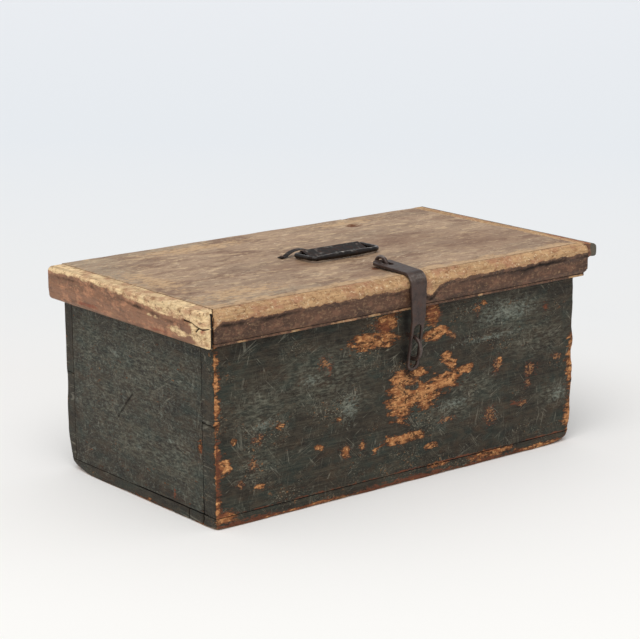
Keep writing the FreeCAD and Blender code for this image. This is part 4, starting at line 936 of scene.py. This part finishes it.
def bottom_of_box():
    """The bottom boards: bare underneath, the narrow one split and worn red along the front."""
    for name, step, crowded in (("bottom_board_front", 3.0, {Y: (SPLIT_Y,)}),
                                ("bottom_board_back", 4.0, None)):
        start, points, faces, marks = board(name, step, crowded, bottom_seam)
        if name == "bottom_board_front":
            drying_crack(start, points, marks, Y, SPLIT_Y, (0.8, 4, 35), 3.0, (1.3, 0.1))
            face = wear_front(start, marks)
            foot = 0.9 - start[:, Z] / 6 + 0.6 * ripple_along(start, X, 40, 24)
            mark_face(marks, face, red=foot)
        marks["inner"] = np.maximum(marks["inner"], start[:, Z] < ON_FACE)
        set_board(name, (points, faces), marks, "X")


# ---------------- the lid

# Gouges in the lid's top: x, y, half length, half width, depth.
LID_GOUGES = ((124, 99, 13, 8, 2.2), (141, 137, 6, 4, 1.6), (-60, 70, 9, 5, 0.7),
              (40, -60, 14, 5, 0.5), (150, -90, 10, 6, 0.6))
# Spots on its top: x, y, half length, half width.
LID_RUST = ((124, 99, 14, 9), (141, 137, 8, 5), (-8, -98, 7, 9))
LID_BROWN = ((180, -60, 110, 50), (110, 0, 80, 34), (-20, -112, 60, 18), (-60, -30, 50, 26))
LID_PALE = ((-190, -98, 90, 36), (-225, 0, 30, 90), (-100, 110, 120, 26), (120, 115, 90, 22))
LID_GREY = ((-240, 60, 30, 80), (-225, -110, 40, 26), (-150, -122, 60, 12), (-230, 120, 40, 30),
            (10, -118, 30, 14), (-120, 128, 60, 14))


def lid_board():
    """The lid's board: gouged on top, worn pale along the front and battered at the back."""
    low, high = box_mm("lid_board")
    points, faces = grid_block(lines(low[X], high[X], 2.6), lines(low[Y], high[Y], 2.6),
                               lines(low[Z], high[Z], 5.0))
    start = points.copy()
    x, y = start[:, X], start[:, Y]
    points = round_off(points, low, high, 0.35 + 0.15 * ripple(points, 14, 41))
    worn_back = fade(y, 128, 139) * (1.6 + 1.6 * ripple(start, 22, 43))
    points = round_off(points, low - PAST, high + (PAST, 0, 0), np.maximum(0.4, worn_back))
    top = start[:, Z] > high[Z] - ON_FACE
    for gouge_x, gouge_y, half_x, half_y, depth in LID_GOUGES:
        away = np.hypot((x - gouge_x) / half_x, (y - gouge_y) / half_y)
        points[:, Z] -= depth * top * (1 - fade(away + 0.25 * ripple(start, 4, 45), 0.1, 1.0))
    stray = ripple(start, 13, 47) * 7 + ripple(start, 4, 48) * 3
    front = 1 - fade(y + 140 + stray, 2, 22)
    sides = 1 - fade(high[X] - np.abs(x) + 0.4 * stray, 0, 6)
    bare = np.maximum.reduce([front, 0.6 * sides, 0.95 * blobs(x, y, LID_PALE)])
    marks = clear_marks(points, "dark")
    marks["worn"] = top.astype(float)
    mark_face(marks, top, bare=bare, rub=blobs(x, y, LID_GREY) + 0.35,
              brown=blobs(x, y, LID_BROWN), red=blobs(x, y, LID_RUST) + 0.25)
    dress("worn_", "lid_board", (points, faces), marks,
          (34, setting("wood").dent_depth * 1.2, 6, 0.12, 1),
          shared(weathered_pine, "weathered_pine"), "lid")


def shade_under_border(start, border, amount, speckle, size, seed):
    """Painted shade just under the border of a moulding's rubbed edge, in the cove below it, broken
    up in ragged patches.
    """
    line = np.exp(-((start[:, Z] - border + 4) / 3.0) ** 2)
    return amount * line + speckle * ripple(start, size, seed)


def set_moulding(side, cut, marks, dents, along, *colours):
    """Puts a worn moulding in the place of its CAD node."""
    size, fine_depth, apart = dents
    finish = shared(rubbed_moulding, "rubbed_%s_moulding" % side, along, *colours)
    dress("worn_", "lid_%s_moulding" % side, cut, marks,
          (size, setting("wood").dent_depth, 4, fine_depth, apart), finish, "lid")


def front_moulding():
    """The front moulding, rubbed round and bare along its upper edge."""
    low, high = box_mm("lid_front_moulding")
    points, faces = recut("lid_front_moulding", 1.05, "moulding_nails")
    start = points.copy()
    x, y, z = start.T
    # the upper edge is rubbed unevenly and chipped, and the foot is worn round at the right end
    rubbed = 1.4 + 1.4 * ripple_along(start, X, 34, 51) + 0.8 * ripple_along(start, X, 9, 52)
    points = round_off(points, low - (0, 0, PAST), high + (0, PAST, 0),
                       9 + 2.2 * np.maximum(rubbed, 0))
    chips = fade(ripple(start, (7, 30, 6), 53), 0.45, 0.8) * fade(z, 212, 220) * (y < -146)
    points[:, Y] += 1.1 * chips
    points = round_off(points, low - (PAST, 0, 0), high + (0, PAST, PAST),
                       0.5 + 6.5 * fade(x, 236, 262))
    # the stain ends lower at the left end and in a notch beside the hasp
    border = (217 + 1.5 * ripple_along(start, X, 31, 54) + 0.9 * ripple_along(start, X, 6, 55)
              + 3 * fade(x, 60, 250) - 8 * (1 - fade(x, -258, -248))
              - 13 * np.exp(-((x - 25) / 11) ** 2))
    # painted shade under the rubbed border
    under = shade_under_border(start, border, 0.5, 0.3, (26, 50, 7), 58)
    # the quirk above the bead is painted dark as shade, and the stain is worn off the bead in
    # places
    shaded_quirk = fade(196.4 - z, 0, 0.9) * fade(z, 194.6, 195.1) * (y < -143)
    foot = np.where((z < SKIRT_FOOT + 2.7) & (y < -145),
                    -0.35 + 0.9 * ripple(start, (17, 50, 50), 57), -1)
    bare = np.maximum(np.clip((z - border) / 3.5, -1, 1), foot)
    marks = clear_marks(points, "red")
    marks["bare"] = np.where(y > -140.6, 0.6, bare)      # no stain against the boards
    marks["rub"] = np.where((z < SKIRT_FOOT + 2.9) & (y < -144),
                            -0.2 + 0.35 * ripple(start, 9, 56), -1)
    mitre = x < low[X] + 1.1
    marks["dark"] = np.where(mitre, 1.0, np.maximum(shaded_quirk * 1.5 - 0.2, under))
    set_moulding("front", (points, faces), marks, (16, 0.14, 2), "X",
                 opaque(setting("wood").moulding_stain))


SPLIT = ((-150.6, 213.4), (-147, 212.6), (-143, 213.8), (-138, 214.8), (-131, 217.0),
         (-118, 217.8))              # crack from the left moulding's mitre, in y and z
WEDGE = ((-141.5, 213.4), (-136.5, 209.0))     # its short branch


def left_moulding():
    """The left moulding, bare along its upper edge and cracked at the mitre."""
    low, high = box_mm("lid_left_moulding")
    points, faces = recut("lid_left_moulding", 0.9, "moulding_nails")
    start = points.copy()
    x, y, z = start.T
    ends = fade(y, 118, 139) * 2.4 + (1 - fade(y, -150, -128)) * 2.2
    edge = (3.4 + ends + 1.5 * ripple_along(start, Y, 26, 61)
            + 0.8 * ripple_along(start, Y, 8, 62))
    points = round_off(points, low - (0, 0, PAST), high + (PAST, 0, 0), np.maximum(edge, 0.6))
    foot = 3.2 + 1.3 * ripple_along(start, Y, 22, 63)
    points = round_off(points, low, high + (PAST, 0, PAST), np.maximum(foot, 0.6))
    dark = np.full(len(points), -1.0)
    for path, width, depth in ((SPLIT, 1.5, 2.2), (WEDGE, 2.0, 3.0)):
        gap = scored(y, z, path, width) * (x < -256)
        points[:, X] += depth * gap
        dark = np.maximum(dark, gap * 1.35 - 0.35)
    dark = np.where((y < low[Y] + 0.9) & (x > -262), 1.0, dark)     # dirt in the mitre
    # bare near the mitre, and above a border that rises towards the back
    corner = 1 - fade(y, -146, -112 + 6 * ripple(start, (60, 60, 9), 64))
    border = 226 - 9 * fade(-y, -60, 125)
    border += 1.8 * ripple_along(start, Y, 23, 65) + 1.2 * ripple_along(start, Y, 6, 66)
    # painted shade under the rubbed border
    under = shade_under_border(start, border, 0.4, 0.28, (50, 17, 6), 67)
    patch = blobs(y, z, ((-60, 212, 24, 4), (-100, 204, 30, 8)))
    bare = np.maximum.reduce([np.clip((z - border) / 4, -1, 1), corner * 1.7 - 0.7,
                              patch * 0.9 - 0.42])
    marks = clear_marks(points, "rub")
    marks["bare"] = np.where(x > -252, 0.6, bare)        # no stain against the boards
    marks["red"] = blobs(y, z, ((-147, 211, 4, 5), (-70, 198, 40, 4), (60, 200, 50, 4))) - 0.15
    marks["dark"] = np.maximum(dark, np.where(corner > 0.3, -1, under))
    # its bare wood is paler than the front moulding's, partly painted light on the band that faces
    # up to the lamp
    set_moulding("left", (points, faces), marks, (18, 0.15, 3), "Y", linear("#90654a"), "#efd0a0")


def right_moulding():
    """The right moulding, its nosing whole and still painted in front."""
    points, faces = recut("lid_right_moulding", 1.0, "moulding_nails")
    start = points.copy()
    x, y, z = start.T
    edge = 1.2 + ripple_along(start, Y, 24, 71)
    points = round_off(points, start.min(0) - PAST, start.max(0) + (0, PAST, 0),
                       np.maximum(edge, 0.4))
    nosing = fade(x, 261, 263.5) * fade(z, 211, 214)
    top = z > LID_TOP - 1.2
    marks = clear_marks(points, "dark")
    marks["bare"] = np.where(top, 0.7 - 1.6 * nosing, -0.7 + 0.5 * ripple(start, 12, 72))
    marks["rub"] = nosing * 1.3 - 0.3 + 0.3 * ripple(start, 8, 73)
    marks["red"] = np.where(top & (y < -80), 1 - np.abs(x - 259.5 + ripple(start, 9, 74)) / 3.2, -1)
    set_moulding("right", (points, faces), marks, (18, 0.1, 4), "Y", linear("#6a4a3b"))


# ---------------- iron

# Finishes of the iron: base colour or its setting, rust, shine, roughness, rust's share, slot.
IRON_FINISHES = {
    # fire scale under thin brown rust
    "wrought_iron_brown": ("iron", "#5d3d2d", "#aba29a", 0.42, 0.4, "wrought_iron"),
    # blackened by hands, and rust-brown where it lies sheltered
    "handled_black_iron": ("black_iron", "#46291e", "#cfc6bb", 0.24, 0.3, "blackened_iron"),
    "rusty_black_iron": ("black_iron", "#46291e", "#cfc6bb", 0.55, 0.85, "blackened_iron"),
    # rusted through, and under the box's paint
    "nail_iron_rusty": ("#46332a", "#7a4a2f", "#8b8078", 0.42, 0.4, "nail_iron"),
    "nail_iron_painted": ("#3b3d36", "#5a3b2b", "#77786e", 0.42, 0.4, "nail_iron"),
}
# Forged pieces: body, finish, mesh cell in millimetres, strength of the hammer marks, seed.
FORGED = {
    "hasp_strap": ("hasp", "wrought_iron_brown", 0.6, 1.0, 11),
    "hasp_front_staple": ("carcase", "wrought_iron_brown", 0.5, 0.6, 12),
    "hasp_lid_staple": ("lid", "wrought_iron_brown", 0.5, 0.6, 13),
    "handle_bail": ("bail", "handled_black_iron", 0.6, 1.2, 14),
    "handle_plate": ("lid", "rusty_black_iron", 0.6, 1.3, 15),
    "hinge_leaf": ("carcase", "wrought_iron_brown", 0.7, 0.8, 16),
    "hinge_strap": ("lid", "wrought_iron_brown", 0.7, 0.8, 17),
    "hinge_pin": ("carcase", "wrought_iron_brown", 0.5, 0.4, 18),
}
# Where a forged piece is rubbed bright and given pale painted highlights: how much, then the limits
# between which that grows towards the front, towards the top, and in patches of a size and seed.
# None is everywhere.
RUBBED_AND_HIGHLIT = {
    "hasp_strap": (0.3, (149, 153), (222, 229), None),
    "hasp_front_staple": (0.16, (156.5, 160.5), None, None),
    "hasp_lid_staple": (0.6, None, (239.5, 242.3), None),
    "handle_bail": (1.0, None, (236.4, 238.2), (4, 81, -0.1, 0.6)),
    "handle_plate": (0.25, None, (231, 234), (3, 82, 0.3, 0.9)),
}


def iron(name):
    """One of the iron finishes, and the slot it belongs to."""
    base, rust, shine, roughness, rusty, slot = IRON_FINISHES[name]
    base = linear(base) if base.startswith("#") else opaque(getattr(setting("iron"), base))
    return shared(forged_iron, name, base, linear(rust), linear(shine), roughness, rusty), slot


def wear_and_highlight(points, name):
    """How brightly each point of a forged piece is rubbed and lit by painted highlight."""
    amount, front, top, patches = RUBBED_AND_HIGHLIT.get(name, (0.0, None, None, None))
    bright = np.full(len(points), amount)
    if front:
        bright *= fade(-points[:, Y], *front)
    if top:
        bright *= fade(points[:, Z], *top)
    if patches:
        size, seed, low, high = patches
        bright *= fade(ripple(points, size, seed), low, high)
    return bright


def forge(name, side=""):
    """A forged piece: its CAD copy cut into small cells, hammered, and burnished where it rubs,
    with painted highlights.
    """
    body, finish, cell, hammer, seed = FORGED[name]
    points, faces = recut(name + side, cell)
    points = np.clip(points, *box_mm(name + side))
    material, slot = iron(finish)
    dress("forged_", name + side, (points, faces), {"bare": wear_and_highlight(points, name)},
          (6.5, setting("iron").hammer_depth * hammer, 2.2, 0.07, seed), material, body)


def nail_points(node):
    """Middle of each nail's head and the way the nail is driven, read from the frame's solids."""
    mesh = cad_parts[node].data
    places = np.array([v.co for v in mesh.vertices])
    parent = {}

    def root(key):
        while parent[key] != key:
            parent[key] = parent[parent[key]]
            key = parent[key]
        return key

    keys = [tuple(np.round(p / 2e-6).astype(int)) for p in places]
    for key in keys:
        parent.setdefault(key, key)
    for face in mesh.polygons:
        ids = [root(keys[i]) for i in face.vertices]
        for other in ids[1:]:
            parent[root(other)] = root(ids[0])
    groups = {}
    for key, place in zip(keys, places):
        groups.setdefault(root(key), []).append(place)
    found = []
    for key in sorted(groups):
        cloud = np.unique(np.round(groups[key], 6), axis=0)
        low, high = cloud.min(0), cloud.max(0)
        axis = int(np.argmax(high - low))
        length = high[axis] - low[axis]
        wide = [np.ptp(cloud[np.abs(cloud[:, axis] - end) < length * 0.25], axis=0).sum()
                for end in (low[axis], high[axis])]
        head_low = wide[0] > wide[1]
        drive = np.zeros(3)
        drive[axis] = 1.0 if head_low else -1.0
        at = (low + high) / 2
        at[axis] = low[axis] if head_low else high[axis]
        found.append((at, drive, length))
    return found


HEAD_HEIGHT = 0.0013     # metres
SHANK_SHORT = 0.002      # how much shorter a shank is than its hole
# Rows of nails: body, finish, how far the crowns stand above the CAD crowns, width of the heads.
NAIL_ROWS = {
    "corner_nails": ("carcase", "nail_iron_painted", 0.0, 1.0),
    "bottom_nails": ("carcase", "nail_iron_rusty", 0.0, 1.0),
    "hinge_leaf_nails": ("carcase", "nail_iron_rusty", 0.0, 1.0),
    "moulding_nails": ("lid", "nail_iron_rusty", -0.0012, 0.8),
    "handle_nails": ("lid", "nail_iron_rusty", 0.0, 0.8),
    "hinge_strap_nails": ("lid", "nail_iron_rusty", 0.0, 1.0),
}


def all_nails():
    """Every row of nails, each in the places of its CAD nails."""
    for node, (body, finish, seat, width) in NAIL_ROWS.items():
        found = nail_points(node)
        points = np.array([at - drive * (seat - HEAD_HEIGHT) for at, drive, _ in found]) / MM
        made = make_object("forged_" + node, points, [])
        layer = made.data.attributes.new("drive", "FLOAT_VECTOR", "POINT")
        layer.data.foreach_set("vector", np.array([d for _, d, _ in found], np.float32).ravel())
        shank = min(length for _, _, length in found) - HEAD_HEIGHT - SHANK_SHORT
        material, slot = iron(finish)
        finished(made, shared(nail_tree, "forged_nails"), {
            "Head Width": setting("iron").nail_head * width, "Head Height": HEAD_HEIGHT,
            "Shank Length": shank, "Seed": setting("stage").seed}, material, body, [node])


# ---------------- stage

CAMERA_PLACE = Vector((-1.4263, -1.7920, 0.7107))
CAMERA_AIM = Vector((-0.0060, 0.0, 0.1554))
CAMERA_ROLL = math.radians(0.30)
LAMP_PLACE = Vector((-0.55, -0.5, 1.15))
LAMP_ANGLE = math.radians(50)          # a wide lamp, for soft shadows
SKY = (0.985, 0.985, 0.99, 1.0)
FLOOR_REACH = 14.0
VIEW_ALONG = (0.72, 0.69, 0.0)         # level direction in which the paper runs back
# The paper's colour changes between two distances along that way, in metres. It greys towards
# the back as painted shade for the light falling off, and turns cooler.
PAPER_SHADE_TINTS = ((-0.5, -0.1, "#f3f2f0"), (-0.1, 0.3, "#ecebe9"), (0.3, 0.7, "#e7e8e8"),
               (0.8, 2.2, "#e1e5e9"), (2.5, 5.5, "#e4e7eb"))


def studio_paper():
    """Matt paper sweep: near-white in front, a cooler grey towards the back, where the grey is
    painted shade.
    """
    material = bpy.data.materials.new("studio_paper")
    material.use_nodes = True
    tree = material.node_tree
    tree.nodes.clear()
    place = add(tree, "ShaderNodeTexCoord").outputs["Object"]
    away = add(tree, "ShaderNodeVectorMath", {0: place, 1: VIEW_ALONG},
               operation="DOT_PRODUCT").outputs["Value"]
    tint = opaque(setting("stage").floor)
    for start, end, colour in PAPER_SHADE_TINTS:
        far = add(tree, "ShaderNodeMapRange", {"Value": away, "From Min": start, "From Max": end},
                  clamp=True)
        tint = add(tree, "ShaderNodeMix", {
            "Factor": far, "A": tint, "B": linear(colour)}, data_type="RGBA")
    shader = add(tree, "ShaderNodeBsdfPrincipled", {
        "Base Color": tint, "Roughness": 0.9, "Specular IOR Level": 0.1})
    add(tree, "ShaderNodeOutputMaterial", {"Surface": shader})
    return material


def aimed(name, data, place, aim):
    """A lamp or camera at a place, looking at a point."""
    holder = placed(name, data)
    holder.location = place
    holder.rotation_mode = "QUATERNION"
    holder.rotation_quaternion = (Vector(aim) - Vector(place)).to_track_quat("-Z", "Y")
    return holder


def build_stage():
    """Floor, sky, lamp and camera."""
    scene, stage = bpy.context.scene, setting("stage")
    mesh = bpy.data.meshes.new("studio_floor")
    corners = [(FLOOR_REACH * x, FLOOR_REACH * y, 0)
               for x, y in ((-1, -1), (1, -1), (1, 1), (-1, 1))]
    mesh.from_pydata(corners, [], [(0, 1, 2, 3)])
    mesh.materials.append(studio_paper())
    placed("studio_floor", mesh)

    scene.world = bpy.data.worlds.new("studio_world")
    scene.world.use_nodes = True
    sky = scene.world.node_tree.nodes["Background"]
    sky.inputs["Color"].default_value = SKY
    sky.inputs["Strength"].default_value = stage.fill_light
    lamp = bpy.data.lights.new("key_lamp", "SUN")
    lamp.energy = stage.key_power
    lamp.angle = LAMP_ANGLE
    aimed("key_lamp", lamp, LAMP_PLACE, (0, 0, 0))

    lens = bpy.data.cameras.new("camera")
    lens.lens = stage.lens
    lens.sensor_width = 36.0
    lens.clip_start, lens.clip_end = 0.05, 60.0
    camera = aimed("camera", lens, CAMERA_PLACE, CAMERA_AIM)
    camera.rotation_quaternion = (camera.rotation_quaternion
                                  @ Quaternion((0, 0, 1), -CAMERA_ROLL))
    scene.camera = camera
    scene.view_settings.view_transform = "Standard"


# ---------------- operators

class CHEST_OT_box_front(bpy.types.Operator):
    """Front board with its worn paint"""
    bl_idname = "chest.box_front"
    bl_label = "Front Board"

    def execute(self, context):
        front_of_box()
        return {"FINISHED"}


class CHEST_OT_box_boards(bpy.types.Operator):
    """Back board, end boards and bottom boards"""
    bl_idname = "chest.box_boards"
    bl_label = "Other Box Boards"

    def execute(self, context):
        back_of_box()
        ends_of_box()
        bottom_of_box()
        return {"FINISHED"}


class CHEST_OT_lid_board(bpy.types.Operator):
    """The lid's wide board"""
    bl_idname = "chest.lid_board"
    bl_label = "Lid Board"

    def execute(self, context):
        lid_board()
        return {"FINISHED"}


class CHEST_OT_mouldings(bpy.types.Operator):
    """The three mouldings round the lid"""
    bl_idname = "chest.mouldings"
    bl_label = "Mouldings"

    def execute(self, context):
        front_moulding()
        left_moulding()
        right_moulding()
        return {"FINISHED"}


class CHEST_OT_hasp(bpy.types.Operator):
    """Hasp strap and its two staples"""
    bl_idname = "chest.hasp"
    bl_label = "Hasp and Staples"

    def execute(self, context):
        for name in ("hasp_strap", "hasp_front_staple", "hasp_lid_staple"):
            forge(name)
        return {"FINISHED"}


class CHEST_OT_handle(bpy.types.Operator):
    """Carrying handle and its folded plate"""
    bl_idname = "chest.handle"
    bl_label = "Handle"

    def execute(self, context):
        forge("handle_bail")
        forge("handle_plate")
        return {"FINISHED"}


class CHEST_OT_hinges(bpy.types.Operator):
    """Hinge leaves, straps and pins"""
    bl_idname = "chest.hinges"
    bl_label = "Hinges"

    def execute(self, context):
        for side in ("_left", "_right"):
            for name in ("hinge_leaf", "hinge_strap", "hinge_pin"):
                forge(name, side)
        return {"FINISHED"}


class CHEST_OT_nails(bpy.types.Operator):
    """Every nail of the chest"""
    bl_idname = "chest.nails"
    bl_label = "Nails"

    def execute(self, context):
        all_nails()
        return {"FINISHED"}


class CHEST_OT_stage(bpy.types.Operator):
    """Floor, sky, lamp and camera"""
    bl_idname = "chest.stage"
    bl_label = "Stage"

    def execute(self, context):
        build_stage()
        return {"FINISHED"}


OPERATORS = (CHEST_OT_box_front, CHEST_OT_box_boards, CHEST_OT_lid_board, CHEST_OT_mouldings,
             CHEST_OT_hasp, CHEST_OT_handle, CHEST_OT_hinges, CHEST_OT_nails, CHEST_OT_stage)


class CHEST_PT_tools(bpy.types.Panel):
    """Lists the chest's settings and builders"""
    bl_label = "Tool Chest"
    bl_idname = "CHEST_PT_tools"
    bl_space_type = "VIEW_3D"
    bl_region_type = "UI"
    bl_category = "Tool Chest"

    def draw(self, context):
        for group, kind in GROUPS.items():
            for name in kind.__annotations__:
                self.layout.prop(setting(group), name)
        for operator in OPERATORS:
            self.layout.operator(operator.bl_idname)


CLASSES = (*GROUPS.values(), *OPERATORS, CHEST_PT_tools)


def register():
    for kind in CLASSES:
        bpy.utils.register_class(kind)
    for group, kind in GROUPS.items():
        setattr(bpy.types.Scene, "chest_" + group, PointerProperty(type=kind))


def unregister():
    for group in GROUPS:
        delattr(bpy.types.Scene, "chest_" + group)
    for kind in reversed(CLASSES):
        bpy.utils.unregister_class(kind)


def main():
    register()
    for operator in OPERATORS:
        group, name = operator.bl_idname.split(".")
        getattr(getattr(bpy.ops, group), name)()


if __name__ == "__main__":
    main()
